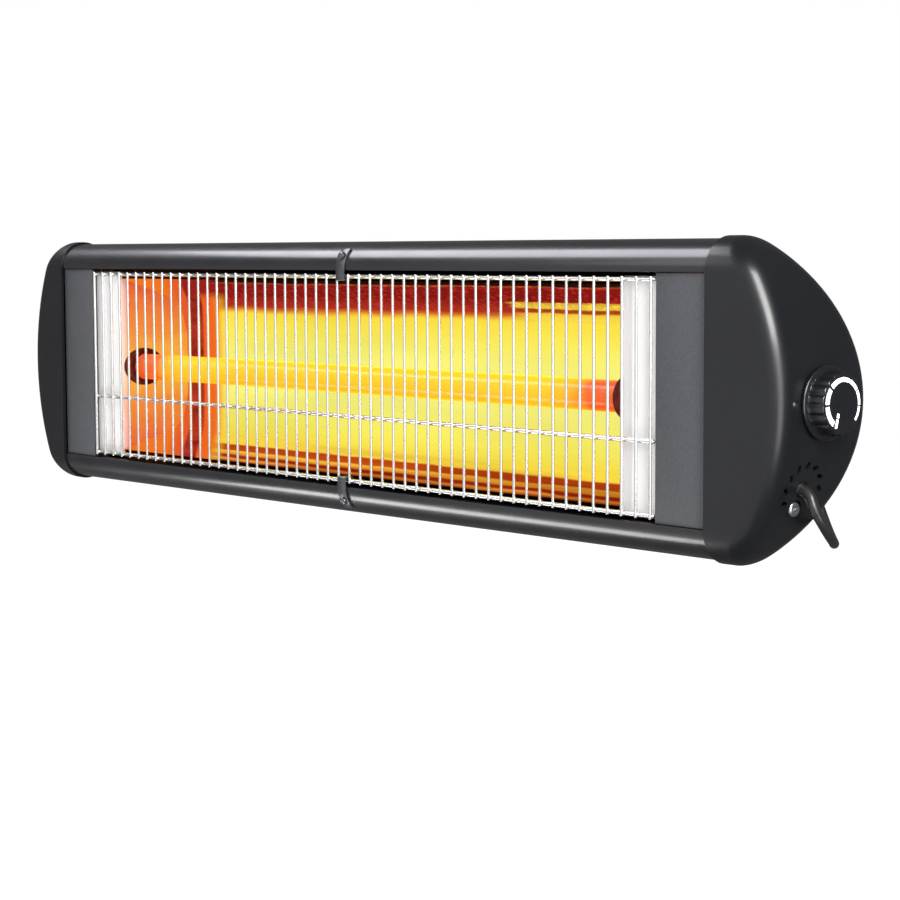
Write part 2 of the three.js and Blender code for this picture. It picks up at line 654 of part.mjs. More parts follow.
// The point on the clip's outside under its screw's head, raised a little.
function clipSeat(lift) {
  const radius = CORNER_RADIUS - CASING_INSET + CLEAR + GUARD_CLIP_SHEET + lift;
  const y = SHOULDER_Y - radius * Math.cos(CLIP_LIFT);
  return [GUARD_CLIP_X, y, CORNER_Z + radius * Math.sin(CLIP_LIFT)];
}

// A strip that follows the rail's curve and hooks under and behind the guard's rod.
function guardClip() {
  const inner = CORNER_RADIUS - CASING_INSET + CLEAR;
  const outer = inner + GUARD_CLIP_SHEET;
  const curve = arcPoints(SHOULDER_Y, CORNER_Z, outer, 180 - GUARD_CLIP_ANGLE, 178, 8);
  const back = arcPoints(SHOULDER_Y, CORNER_Z, inner, 178, 180 - GUARD_CLIP_ANGLE, 8);
  const rodY0 = (WIRE_DIAMETER + ROD_DIAMETER) / 2 - CLEAR;
  const reach = ROD_DIAMETER / 2 + CLEAR;
  const z = ROD_TOP;
  const face = SHOULDER_Y - outer;
  const sheet = GUARD_CLIP_SHEET;
  const hook = [
    [face, z - reach - sheet],
    [rodY0 + reach + sheet, z - reach - sheet],
    [rodY0 + reach + sheet, z + 1],
    [rodY0 + reach, z + 1],
    [rodY0 + reach, z - reach],
    [face + sheet, z - reach],
  ];
  const half = GUARD_CLIP_WIDTH / 2;
  const strip = prismX([...curve, ...hook, ...back], GUARD_CLIP_X - half, GUARD_CLIP_X + half);
  const at = clipSeat(0);
  const hole = [along(at, CLIP_INWARD, -4), along(at, CLIP_INWARD, 4)];
  return cut(strip, pin(...hole, CLIP_SHANK + 2 * CLEAR));
}

const clipScrew = () => panScrew(clipSeat(CLEAR), CLIP_INWARD, 6, 2, CLIP_SHANK, 9);

// ---- Reflector and heating tube -----------------------------------------------------------------
const MIRROR_BACK = MIRROR_PROFILE[MIRROR_PROFILE.length - 1][0];
const WALL_SLOPE = (MIRROR_MOUTH - MIRROR_FLOOR) / (MIRROR_BACK - MIRROR_FRONT);
const TUBE_Z = -2;

// Both halves of the trough's profile, moved out by a distance, bottom edge to top edge.
function troughProfile(out) {
  const grow = (from, to) => {
    const length = Math.hypot(to[0] - from[0], to[1] - from[1]);
    return [(to[1] - from[1]) / -length, (to[0] - from[0]) / length];
  };
  const normals = MIRROR_PROFILE.slice(1).map((point, i) => grow(MIRROR_PROFILE[i], point));
  normals.push([-1, 0]);
  const upper = MIRROR_PROFILE.map(([y, z], i) => {
    const before = normals[Math.max(i - 1, 0)];
    const after = i === MIRROR_PROFILE.length - 1 ? [1, 0] : normals[i];
    const sum = [before[0] + after[0], before[1] + after[1]];
    const scale = (2 * out) / (sum[0] ** 2 + sum[1] ** 2);
    return i === 0 ? [y, z + out / after[1]] : [y + sum[0] * scale, z + sum[1] * scale];
  });
  const lower = upper.map(([y, z]) => [y, -z]);
  return [...lower, ...upper.reverse()];
}

function reflectorTrough() {
  const outside = troughProfile(MIRROR_SHEET);
  const inside = troughProfile(0).reverse();
  const sheet = prismX([...outside, ...inside], -MIRROR_MOUTH, MIRROR_MOUTH);
  const reach = MIRROR_MOUTH + CLEAR * 2 - 1;
  const slope = [
    [reach, MIRROR_FRONT],
    [reach - WALL_SLOPE * 60, MIRROR_FRONT + 60],
    [reach + 40, MIRROR_FRONT + 60],
    [reach + 40, MIRROR_FRONT - 10],
    [reach + WALL_SLOPE * 10, MIRROR_FRONT - 10],
  ];
  const end = prismZ(slope, -90, 90);
  return cut(sheet, end, flipX(end));
}

// A folded strip beside the window, going on into the slanted end wall of the trough.
function reflectorEnd() {
  const line = [
    [MIRROR_FLANGE_END, 4.3],
    [MIRROR_MOUTH + MIRROR_STRIP_WIDTH * 0.625, 5.4],
    [MIRROR_MOUTH + MIRROR_STRIP_WIDTH * 0.29, 4.8],
    [MIRROR_MOUTH, MIRROR_FRONT],
    [MIRROR_MOUTH - WALL_SLOPE * (MIRROR_BACK + 1.4 - MIRROR_FRONT), MIRROR_BACK + 1.4],
  ];
  const behind = line.map(([x, y], i) => [x + (i > 2 ? MIRROR_SHEET : 0), y + (i > 3 ? 0 :
    MIRROR_SHEET)]);
  const sheet = prismZ([...line, ...behind.reverse()], -MIRROR_STRIP_HALF, MIRROR_STRIP_HALF);
  const lid = troughProfile(MIRROR_SHEET + 0.4);
  const strip = MIRROR_FRONT + MIRROR_SHEET + 0.1;
  const outline = prismX([...lid], 0, WINDOW_X);
  const front = block(MIRROR_MOUTH, WINDOW_X, 0, strip, -MIRROR_STRIP_HALF, MIRROR_STRIP_HALF);
  const hole = rodX(TUBE_Y, TUBE_Z, HOLDER_DIAMETER + 2 * CLEAR, 0, WINDOW_X, 22);
  return cut(sheet.intersect(join(outline, front)), hole);
}

function quartzTube() {
  const outside = rodX(TUBE_Y, TUBE_Z, TUBE_DIAMETER, -TUBE_END, TUBE_END, 24);
  return cut(outside, rodX(TUBE_Y, TUBE_Z, TUBE_BORE, -TUBE_END - 1, TUBE_END + 1, 24));
}

const heatingCoil = () => rodX(TUBE_Y, TUBE_Z, COIL_DIAMETER, -COIL_END, COIL_END, 16);

function tubeHolder() {
  const body = rodX(TUBE_Y, TUBE_Z, HOLDER_DIAMETER, HOLDER_TIP, HOLDER_END, 22);
  const socket = rodX(TUBE_Y, TUBE_Z, TUBE_DIAMETER + 2 * CLEAR, HOLDER_TIP - 1,
    HOLDER_TIP + HOLDER_SOCKET, 22);
  const bore = rodX(TUBE_Y, TUBE_Z, STUD_DIAMETER + 2 * CLEAR, HOLDER_TIP, HOLDER_END + 1, 12);
  return cut(body, socket, bore);
}

const tubeStud = () => rodX(TUBE_Y, TUBE_Z, STUD_DIAMETER, COIL_END + CLEAR, STUD_END, 12);

// The bracket that carries a ceramic holder from the end frame.
function holderBracket() {
  const near = HOLDER_END + CLEAR;
  const far = SEAM - FRAME_OFFSET - FRAME_SHEET - CLEAR;
  const back = TUBE_Y + HOLDER_DIAMETER / 2;
  const low = TUBE_Z - 16;
  const high = TUBE_Z + 14;
  const plate = block(near, near + FRAME_SHEET, 9, back + 1, low, high);
  const arm = block(near, far, back, back + FRAME_SHEET, low, high);
  const foot = block(far - FRAME_SHEET, far, back, back + 20, low, high);
  const hole = rodX(TUBE_Y, TUBE_Z, STUD_DIAMETER + 4, near - 5, near + 5, 16);
  return cut(join(plate, arm, foot), hole);
}

const CUTOUT_Y = MIRROR_BACK + MIRROR_SHEET + CLEAR;
const thermalCutout = () => rodY(CUTOUT_X, 0, CUTOUT_DIAMETER, CUTOUT_Y, CUTOUT_Y + CUTOUT_LENGTH, 20);

// ---- Controls on the right ----------------------------------------------------------------------
const WALL_INSIDE = END_X - CAP_WALL;

function regulatorBody() {
  const face = WALL_INSIDE - 1.4;
  const half = REGULATOR_SIZE / 2;
  const box = block(face - REGULATOR_LENGTH, face, KNOB_Y - half, KNOB_Y + half, -half, half);
  const bush = rodX(KNOB_Y, 0, BUSH_DIAMETER, face - 1, END_X + NUT_THICK + 0.8, 24);
  const bore = rodX(KNOB_Y, 0, SHAFT_DIAMETER + 2 * CLEAR, face - 6, END_X + 9, 16);
  return cut(join(box, bush), bore);
}

const regulatorShaft = () =>
  rodX(KNOB_Y, 0, SHAFT_DIAMETER, WALL_INSIDE - 6, END_X + KNOB_HEIGHT - 2, 16);

function regulatorNut() {
  const nut = hexRod(KNOB_Y, 0, NUT_ACROSS, END_X + CLEAR, END_X + CLEAR + NUT_THICK);
  return cut(nut, rodX(KNOB_Y, 0, BUSH_DIAMETER + 2 * CLEAR, END_X - 5, END_X + 9, 24));
}

function knob() {
  const back = END_X + KNOB_GAP;
  const front = back + KNOB_HEIGHT;
  const flange = rodX(KNOB_Y, 0, KNOB_FLANGE_DIAMETER, back, back + KNOB_FLANGE, 32,
    KNOB_FLANGE_DIAMETER - 1.2);
  const steps = KNOB_FLUTES * 3;
  const outline = Array.from({ length: steps }, (_, i) => {
    const angle = (2 * Math.PI * i) / steps;
    const radius = KNOB_DIAMETER / 2 - (i % 3 === 0 ? 1 : 0);
    return [KNOB_Y + radius * Math.cos(angle), radius * Math.sin(angle)];
  });
  const body = prismX(outline, back + 1, front);
  const cone = rodX(KNOB_Y, 0, KNOB_DIAMETER + 8, back, front, 40, KNOB_DIAMETER - 2.4);
  const recess = rodX(KNOB_Y, 0, NUT_ACROSS / Math.cos(Math.PI / 6) + 2, back - 1,
    END_X + NUT_THICK + 1.4, 24);
  const bore = rodX(KNOB_Y, 0, SHAFT_DIAMETER + 2 * CLEAR, back, front - 2 + CLEAR, 16);
  return cut(join(flange, body.intersect(cone)), recess, bore);
}

// ---- Wiring -------------------------------------------------------------------------------------
const WIRE_RADIUS = 1.2;
const wireAlong = (points, steps) => cordAlong(points, 2 * WIRE_RADIUS, steps, 6);
const FEED_HOLE = [42, 24.6]; // depth and height of the wires' holes in the right end frame
const CUTOUT_HOLE = [55, -35.5];
const BLOCK_NEAR = SEAM - FRAME_OFFSET + CLEAR;
const BLOCK_BACK = 46;
const INNER_CORD_Z = -46.5;

const terminalBlock = () =>
  block(BLOCK_NEAR, BLOCK_NEAR + BLOCK_LENGTH, 22, BLOCK_BACK, INNER_CORD_Z - 10, INNER_CORD_Z + 10);

function rightFeedWire() {
  const start = STUD_END + CLEAR;
  const end = WALL_INSIDE - 1.4 - REGULATOR_LENGTH - CLEAR;
  return wireAlong([
    [start, TUBE_Y, TUBE_Z], [start + 7, TUBE_Y, TUBE_Z + 0.4], [SEAM - 32.5, 22.5, 4],
    [SEAM - 24.5, 26, 14], [SEAM - 16.5, 33, 21], [SEAM - 9.5, 40, 24], [SEAM - 2.5, ...FEED_HOLE],
    [end - 20.7, 42, 23.5], [end - 13.7, 41, 19], [end - 7.7, 40.3, 13], [end - 4, 40, 10.5],
    [end, 40, 10],
  ], 20);
}

function leftFeedWire() {
  const start = -STUD_END - CLEAR;
  const y = CUTOUT_Y + CUTOUT_LENGTH / 2;
  const behind = y + 2.8;
  return wireAlong([
    [start, TUBE_Y, TUBE_Z], [start - 7, TUBE_Y, TUBE_Z + 0.4], [start - 14.7, 23.5, 4],
    [start - 19.7, 28, 13], [start - 21.7, 36, 19], [start - 16.7, 46, 21], [start - 4.7, 54, 19],
    [start + 13.3, behind - 1.5, 14], [start + 41.3, behind, 7], [start + 83.3, behind, 2],
    [-120, behind, 0], [0, behind, 0], [100, behind, 0], [CUTOUT_X - 22, behind - 0.9, 0],
    [CUTOUT_X - CUTOUT_DIAMETER / 2 - 5, y + 0.3, 0],
    [CUTOUT_X - CUTOUT_DIAMETER / 2 - CLEAR, y, 0],
  ], 25);
}

function cutoutWire() {
  const start = CUTOUT_X + CUTOUT_DIAMETER / 2 + CLEAR;
  const y = CUTOUT_Y + CUTOUT_LENGTH / 2;
  const x = BLOCK_NEAR + BLOCK_LENGTH / 2;
  const toward = (share) => CUTOUT_X + share * (SEAM - CUTOUT_X);
  return wireAlong([
    [start, y, 0], [start + 5, y + 0.3, 0], [start + 17, 60, -1], [toward(0.32), 60.5, -6],
    [toward(0.55), 60, -16], [toward(0.74), 58, -27], [toward(0.87), 56, -33],
    [SEAM - 11.5, 55, -34.6], [SEAM - 2.5, ...CUTOUT_HOLE], [SEAM + 3.5, 54, -38], [x, 52.6, -42],
    [x, 49.5, -44], [x, BLOCK_BACK + CLEAR, -44],
  ], 22);
}

function regulatorLead() {
  const start = WALL_INSIDE - 1.4 - REGULATOR_LENGTH - CLEAR;
  const x = BLOCK_NEAR + BLOCK_LENGTH / 2;
  return wireAlong([
    [start, 44, -10], [start - 4, 44, -10.3], [start - 8.7, 42, -13], [x + 3.7, 36, -18],
    [x + 0.5, 29, -25],
    [x, 24.3, -31], [x, 24, INNER_CORD_Z + 10 + CLEAR],
  ], 16);
}

function innerCord() {
  const start = along(GLAND_EXIT, GLAND_AXIS, -5.4 - CLEAR);
  return cordAlong([
    start, along(start, GLAND_AXIS, -4), [start[0] - 10.5, GLAND_Y, INNER_CORD_Z],
    [start[0] - 16, GLAND_Y, INNER_CORD_Z],
    [BLOCK_NEAR + BLOCK_LENGTH + CLEAR, GLAND_Y, INNER_CORD_Z],
  ], CORD_DIAMETER, 12);
}

// The clamp that grips the cord inside, on an arm from the end frame.
function cordClamp() {
  const top = INNER_CORD_Z + 10 + CLEAR;
  const far = BLOCK_NEAR + BLOCK_LENGTH + 9;
  const y = GLAND_Y;
  const foot = block(BLOCK_NEAR, BLOCK_NEAR + FRAME_SHEET, y - 4, y + 6, top, top + 12);
  const arm = block(BLOCK_NEAR, far, y - 3, y + 5, top, top + FRAME_SHEET);
  const drop = block(far - 4, far, y - 2, y + 2, INNER_CORD_Z + 4, top + 1);
  const ring = rodX(y, INNER_CORD_Z, CORD_DIAMETER + 4, far - 4, far, 20);
  const hole = rodX(y, INNER_CORD_Z, CORD_DIAMETER + 2 * CLEAR, far - 9, far + 9, 20);
  return cut(join(foot, arm, drop, ring), hole);
}

// ---- Cord outside, in the wall's frame ----------------------------------------------------------
function cordGland() {
  const exit = [GLAND_EXIT[0], GLAND_EXIT[1] - WALL_Y, GLAND_EXIT[2]];
  const route = GLAND_ROUTE.map((p) => new THREE.Vector3(...p).add(new THREE.Vector3(...exit)));
  const path = new THREE.CatmullRomCurve3(route);
  const outer = path.getSpacedPoints(11).map((p) => p.toArray());
  const beyond = outer.filter((p) => along(p, exit, -1).reduce((s, v, i) =>
    s + v * GLAND_AXIS[i], 0) > 0.9);
  const points = [along(exit, GLAND_AXIS, CLEAR + 0.05), ...beyond];
  const radii = points.map((_, i) => 5.2 - (1.6 * i) / (points.length - 1));
  const relief = solidOf(tubeOver(points, radii, 10));
  const neck = pin(along(exit, GLAND_AXIS, -4), along(exit, GLAND_AXIS, 1), GLAND_NECK, 12);
  const inner = [along(exit, GLAND_AXIS, -5.4), along(exit, GLAND_AXIS, -CAP_WALL - CLEAR - 0.1)];
  return join(relief, neck, pin(...inner, 12, 16));
}

const supplyCord = () => cordAlong(CORD_ROUTE, CORD_DIAMETER, 42);
const plugTail = () => cordAlong(PLUG_ROUTE, CORD_DIAMETER, 16);

const HANK_X = BRACKET_X;
const ease = (share) => share * share * (3 - 2 * share);

// The hank's centre line: round and round between two folds, drawn in at the tie, and a layer
// higher after each run along the back.
function hankPoints() {
  const runSteps = HANK_STEPS / 4;
  const half = HANK_RUN / 2;
  const points = [[HANK_X + half + CORD_DIAMETER, HANK_Y - HANK_HALF, HANK_BOTTOM]];
  for (let turn = 0; turn < HANK_LAYERS; turn++)
    for (const back of [false, true]) {
      const way = back ? 1 : -1;
      const from = HANK_BOTTOM + HANK_PITCH * turn;
      for (let i = 0; i < runSteps; i++) {
        const share = i / runSteps;
        const drawn = HANK_WAIST * Math.sin(Math.PI * share) ** 2;
        const z = from + (back ? HANK_PITCH * ease(share) : 0);
        points.push([HANK_X + way * (share - 0.5) * HANK_RUN, HANK_Y + way * (HANK_HALF - drawn), z]);
      }
      for (let i = 0; i < runSteps; i++) {
        const angle = (Math.PI * i) / runSteps;
        points.push([
          HANK_X + way * (half + HANK_HALF * Math.sin(angle)),
          HANK_Y + way * HANK_HALF * Math.cos(angle),
          from + (back ? HANK_PITCH : 0),
        ]);
      }
    }
  const last = HANK_BOTTOM + HANK_PITCH * HANK_LAYERS;
  points.push([HANK_X + half, HANK_Y - HANK_HALF, last]);
  points.push([HANK_X + half - CORD_DIAMETER, HANK_Y - HANK_HALF, last]);
  return points;
}

// The least gap between stretches of one tube that aren't neighbours along it.
function leastGap(points, diameter) {
  const centres = points.map((p) => new THREE.Vector3(...p));
  const fine = [];
  for (let i = 0; i < centres.length - 1; i++)
    for (let k = 0; k < 4; k++) fine.push(centres[i].clone().lerp(centres[i + 1], k / 4));
  let least = Infinity;
  for (let i = 0; i < fine.length; i++)
    for (let k = i + 1; k < fine.length; k++) {
      const apart = fine[i].distanceTo(fine[k]);
      if (apart < least && (k - i) * 3 > diameter * 4) least = apart;
    }
  return least - diameter;
}

function cordHank() {
  const points = hankPoints();
  const gap = leastGap(points, CORD_DIAMETER).toFixed(2);
  console.log(`cord_hank: ${HANK_LAYERS} loops, least gap to itself ${gap} mm`);
  return solidOf(tubeOver(points, points.map(() => CORD_DIAMETER / 2), HANK_SIDES));
}

function cordTie() {
  const side = HANK_HALF - HANK_WAIST + CORD_DIAMETER / 2 + CLEAR;
  const low = HANK_BOTTOM - CORD_DIAMETER / 2 - CLEAR;
  const high = HANK_BOTTOM + HANK_PITCH * (HANK_LAYERS - 0.5) + CORD_DIAMETER / 2 + CLEAR;
  const half = TIE_WIDTH / 2;
  const ring = (out) => block(HANK_X - half - (out ? 0 : 1), HANK_X + half + (out ? 0 : 1),
    HANK_Y - side - out, HANK_Y + side + out, low - out, high + out);
  return cut(ring(TIE_THICK), ring(0));
}

function plugBody() {
  const radius = PLUG_DIAMETER / 2;
  const front = PLUG_BACK - PLUG_LENGTH;
  const profile = [
    [0, 0], [radius, 0], [radius, 12], [radius - 1.5, 14], [radius - 2, 30], [radius - 5, 37],
    [8.5, 42], [6.2, PLUG_LENGTH], [0, PLUG_LENGTH],
  ];
  const turned = new THREE.LatheGeometry(profile.map(([r, h]) => new THREE.Vector2(r, h)), 16);
  turned.rotateZ(-Math.PI / 2).translate(front, HANK_Y, PLUG_Z);
  const holes = [-1, 1].map((side) =>
    rodX(HANK_Y + (side * PIN_SPACING) / 2, PLUG_Z, PIN_DIAMETER + 2 * CLEAR, front - 1, front + 9));
  const ear = block(front - 1, front + 14, HANK_Y - 3, HANK_Y + 3, PLUG_Z + radius - 2.5, PLUG_Z + 30);
  return cut(solidOf(turned), ...holes, ear);
}

function plugPin(side) {
  const front = PLUG_BACK - PLUG_LENGTH;
  const y = HANK_Y + (side * PIN_SPACING) / 2;
  return rodX(y, PLUG_Z, PIN_DIAMETER, front - PIN_LENGTH, front + 9 - CLEAR, 14);
}

// ---- Wall rail and tilting brackets -------------------------------------------------------------
// A flat strip with a round end at the pivot, from one depth to the pivot, with the bolt's hole.
function strap(x0, x1, from, pivotY, halfHeight) {
  const toward = from > pivotY ? -1 : 1;
  const outline = [[from, -halfHeight], [from, halfHeight]];
  for (let i = 0; i <= 8; i++) {
    const angle = (Math.PI * i) / 8;
    outline.push([pivotY + toward * halfHeight * Math.sin(angle), halfHeight * Math.cos(angle)]);
  }
  const solid = prismX(toward > 0 ? outline.reverse() : outline, x0, x1);
  return cut(solid, rodX(pivotY, 0, BOLT_DIAMETER + 2 * CLEAR, x0 - 1, x1 + 1, 14));
}

const EAR_IN = LUG_SPAN / 2 + CLEAR; // from a bracket's middle to the inside of its ears
const EAR_OUT = EAR_IN + LUG_SHEET;

// The wall rail with its welded ears: a flat strip against the wall, four L-shaped ears in front.
function wallRail() {
  const half = WALL_RAIL_HEIGHT / 2;
  const pivot = -PIVOT_TO_WALL;
  const front = -WALL_RAIL_SHEET;
  const parts = [block(-RAIL_REACH, RAIL_REACH, front, 0, -half, half)];
  for (const middle of [-BRACKET_X, BRACKET_X])
    for (const side of [-1, 1]) {
      const near = middle + side * EAR_IN;
      const far = middle + side * EAR_OUT;
      const tip = middle + side * (EAR_OUT + EAR_FOOT);
      const edges = [Math.min(near, far), Math.max(near, far)];
      const foot = [Math.min(near, tip), Math.max(near, tip)];
      parts.push(strap(...edges, front, pivot, LUG_HALF_HEIGHT));
      parts.push(block(...foot, front - LUG_SHEET, front, -LUG_HALF_HEIGHT, LUG_HALF_HEIGHT));
    }
  const holes = KEYHOLES.flatMap((x) => [
    rodY(x, -4, KEYHOLE_DIAMETER, front - 9, 1, 12),
    block(x - KEYHOLE_SLOT / 2, x + KEYHOLE_SLOT / 2, front - 9, 1, -4, 6),
  ]);
  return cut(wasm.Manifold.union(parts), ...holes);
}

const LUG_INNER = BACK_RADIUS - CASING_INSET + CLEAR;
const LUG_SCREW_SHANK = 3.8;
const lugScrewSeat = () => BACK_CENTRE + LUG_INNER + LUG_FOOT_SHEET + CLEAR;

function lugScrewHoles() {
  const holes = [];
  for (const middle of [-BRACKET_X, BRACKET_X])
    for (const side of [-1, 1]) {
      const x = middle + side * LUG_SCREW_X;
      const seat = lugScrewSeat();
      holes.push(rodY(x, 0, LUG_SCREW_SHANK + 2 * CLEAR, seat - 15, seat + 15, 12));
    }
  return holes;
}

// The U-shaped bracket on the casing: a foot that follows its curve, and two lugs.
function lugBracket(middle) {
  const half = LUG_SPAN / 2;
  const outer = LUG_INNER + LUG_FOOT_SHEET;
  const swing = THREE.MathUtils.radToDeg(Math.asin(LUG_FOOT_HALF / LUG_INNER));
  const outline = [
    ...arcPoints(BACK_CENTRE, 0, outer, -swing, swing, 4),
    ...arcPoints(BACK_CENTRE, 0, LUG_INNER, swing, -swing, 4),
  ];
  const foot = prismX(outline, middle - half, middle + half);
  const from = BACK_CENTRE + LUG_INNER + 1;
  const lugs = [-1, 1].map((side) => {
    const edges = [middle + side * half, middle + side * (half - LUG_SHEET)].sort((a, b) => a - b);
    return strap(...edges, from, PIVOT_Y, LUG_HALF_HEIGHT);
  });
  return cut(join(foot, ...lugs), ...lugScrewHoles());
}

const lugScrew = (x) =>
  panScrew([x, lugScrewSeat(), 0], [0, -1, 0], 7.5, 2.4, LUG_SCREW_SHANK, 11);

// The long bolt through both ears and both lugs, with a flange under its head.
function tiltBolt(middle) {
  const seat = middle - EAR_OUT - CLEAR;
  const end = middle + EAR_OUT + CLEAR + FLANGE_THICK + BOLT_NUT + 1.5;
  const y = -PIVOT_TO_WALL;
  return join(
    hexRod(y, 0, BOLT_HEAD_ACROSS, seat - FLANGE_THICK - BOLT_HEAD, seat - 0.5),
    rodX(y, 0, FLANGE_DIAMETER, seat - FLANGE_THICK, seat, 24),
    rodX(y, 0, BOLT_DIAMETER, seat - 1, end, 20),
  );
}

function tiltNut(middle) {
  const seat = middle + EAR_OUT + CLEAR;
  const y = -PIVOT_TO_WALL;
  const bore = rodX(y, 0, BOLT_DIAMETER + 2 * CLEAR, seat - 5, seat + 20, 20);
  const flange = rodX(y, 0, FLANGE_DIAMETER, seat, seat + FLANGE_THICK, 24);
  const nut = hexRod(y, 0, BOLT_HEAD_ACROSS, seat + 0.5, seat + FLANGE_THICK + BOLT_NUT);
  return cut(join(flange, nut), bore);
}

// ---- Assembly -----------------------------------------------------------------------------------
const heater = new THREE.Group();
heater.name = "electric_bar_heater";

function add(name, solid, [color, roughness, metalness], options = {}) {
  const mesh = new THREE.Mesh(geometryOf(solid), finish(color, roughness, metalness, options));
  mesh.name = name;
  heater.add(mesh);
}

// A piece made in the heater's own frame, moved out from the wall.
const fit = (name, solid, look, options) => add(name, solid.translate(0, -WALL_Y, 0), look, options);

fit("rear_casing", rearCasing(), SATIN_BLACK);
fit("top_rail", topRail(), SATIN_BLACK);
fit("bottom_rail", flipZ(topRail()), SATIN_BLACK);
fit("right_side_plate", sidePlate(), PLATE_GREY);
fit("left_side_plate", flipX(sidePlate()), PLATE_GREY);
fit("right_end_frame", endFrame([FEED_HOLE, CUTOUT_HOLE]), STEEL);
fit("left_end_frame", flipX(endFrame([])), STEEL);
fit("right_end_cap", rightEndCap(), MOULDED_BLACK);
fit("left_end_cap", flipX(capWithPost()), MOULDED_BLACK);

const capScrewSeat = [CAP_SCREW_SEAT + CLEAR, CAP_SCREW_Y, CAP_SCREW_Z];
const capScrewLength = CAP_SCREW_SEAT - SEAM + FRAME_OFFSET + FRAME_SHEET + CAP_SCREW_BITE;
const capScrew = () =>
  panScrew(capScrewSeat, [-1, 0, 0], CAP_SCREW_HEAD, 2.6, CAP_SCREW_SHANK, capScrewLength);
fit("right_cap_screw", capScrew(), STEEL);
fit("left_cap_screw", flipX(capScrew()), STEEL);

fit("reflector_trough", reflectorTrough(), MIRROR);
fit("right_reflector_end", reflectorEnd(), MIRROR);
fit("left_reflector_end", flipX(reflectorEnd()), MIRROR);
fit("quartz_tube", quartzTube(), [0xffb020, 0.2, 0], { transparent: true, opacity: 0.6 });
fit("heating_coil", heatingCoil(), [0xff8a1e, 0.5, 0]);
fit("right_tube_holder", tubeHolder(), CERAMIC);
fit("left_tube_holder", flipX(tubeHolder()), CERAMIC);
fit("right_tube_stud", tubeStud(), STEEL);
fit("left_tube_stud", flipX(tubeStud()), STEEL);
fit("right_holder_bracket", holderBracket(), STEEL);
fit("left_holder_bracket", flipX(holderBracket()), STEEL);

fit("wire_guard", wireGuard(), CHROME);
fit("top_guard_clip", guardClip(), SATIN_BLACK);
fit("bottom_guard_clip", flipZ(guardClip()), SATIN_BLACK);
fit("top_clip_screw", clipScrew(), STEEL);
fit("bottom_clip_screw", flipZ(clipScrew()), STEEL);

fit("knob", knob(), MOULDED_BLACK);
fit("regulator_body", regulatorBody(), BAKELITE);
fit("regulator_shaft", regulatorShaft(), STEEL);
fit("regulator_nut", regulatorNut(), STEEL);
fit("terminal_block", terminalBlock(), [0xd8d4c8, 0.6, 0]);
fit("cord_clamp", cordClamp(), STEEL);
fit("inner_cord", innerCord(), RUBBER);
fit("thermal_cutout", thermalCutout(), BAKELITE);
fit("right_feed_wire", rightFeedWire(), COPPER);
fit("left_feed_wire", leftFeedWire(), COPPER);
fit("cutout_wire", cutoutWire(), COPPER);
fit("regulator_lead", regulatorLead(), COPPER);

add("cord_gland", cordGland(), RUBBER);
add("supply_cord", supplyCord(), RUBBER);
add("cord_hank", cordHank(), RUBBER);
add("plug_tail", plugTail(), RUBBER);
add("cord_tie", cordTie(), RUBBER);
add("plug_body", plugBody(), RUBBER);
add("plug_pin_a", plugPin(-1), CHROME);
add("plug_pin_b", plugPin(1), CHROME);

add("wall_rail", wallRail(), SATIN_BLACK);
for (const [side, middle] of [["left", -BRACKET_X], ["right", BRACKET_X]]) {
  fit(`${side}_lug_bracket`, lugBracket(middle), SATIN_BLACK);
  fit(`${side}_lug_screw_a`, lugScrew(middle - LUG_SCREW_X), STEEL);
  fit(`${side}_lug_screw_b`, lugScrew(middle + LUG_SCREW_X), STEEL);
  add(`${side}_tilt_bolt`, tiltBolt(middle), STEEL);
  add(`${side}_tilt_nut`, tiltNut(middle), STEEL);
}

export default heater;
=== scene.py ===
"""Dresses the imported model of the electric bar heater: fine meshes, finishes, cord and stage.

Metres, +Z up. X runs along the heater to the knob's end, the front faces -Y, and the origin is on
the wall, at the middle of the wall rail's back face.
"""

import json
import math

import bmesh
import bpy
from bpy.props import FloatProperty, FloatVectorProperty, IntProperty, PointerProperty
from mathutils import Matrix, Vector


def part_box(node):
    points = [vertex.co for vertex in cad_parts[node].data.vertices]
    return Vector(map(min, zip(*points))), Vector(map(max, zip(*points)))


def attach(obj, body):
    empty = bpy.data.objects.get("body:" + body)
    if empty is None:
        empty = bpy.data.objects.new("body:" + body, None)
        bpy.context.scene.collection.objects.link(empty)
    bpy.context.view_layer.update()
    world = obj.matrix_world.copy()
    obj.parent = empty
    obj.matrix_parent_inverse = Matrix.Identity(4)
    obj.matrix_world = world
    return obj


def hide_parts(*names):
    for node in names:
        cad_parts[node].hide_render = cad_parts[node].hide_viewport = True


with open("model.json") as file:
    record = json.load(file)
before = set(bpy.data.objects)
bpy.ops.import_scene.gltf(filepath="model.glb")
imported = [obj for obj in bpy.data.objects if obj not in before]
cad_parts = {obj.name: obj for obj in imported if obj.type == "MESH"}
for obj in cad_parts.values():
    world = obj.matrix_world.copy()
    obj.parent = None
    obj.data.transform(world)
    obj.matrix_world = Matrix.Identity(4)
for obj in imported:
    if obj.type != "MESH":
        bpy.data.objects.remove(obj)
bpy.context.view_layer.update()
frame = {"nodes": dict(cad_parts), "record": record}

bl_info = {
    "name": "Electric bar heater",
    "version": (1, 0, 0),
    "blender": (4, 5, 0),
    "location": "View3D > Sidebar > Heater",
    "description": "Builds the visible pieces, finishes and stage of a wall bar heater",
    "category": "Object",
}

MM = 0.001
CLEAR = 0.3 * MM  # gap between pieces that touch

# ---- Places taken from the frame ----------------------------------------------------------------
BODIES = frame["record"]["behaviour"]["bodies"]
BODY_OF = {node: body for body, members in BODIES.items() for node in members}

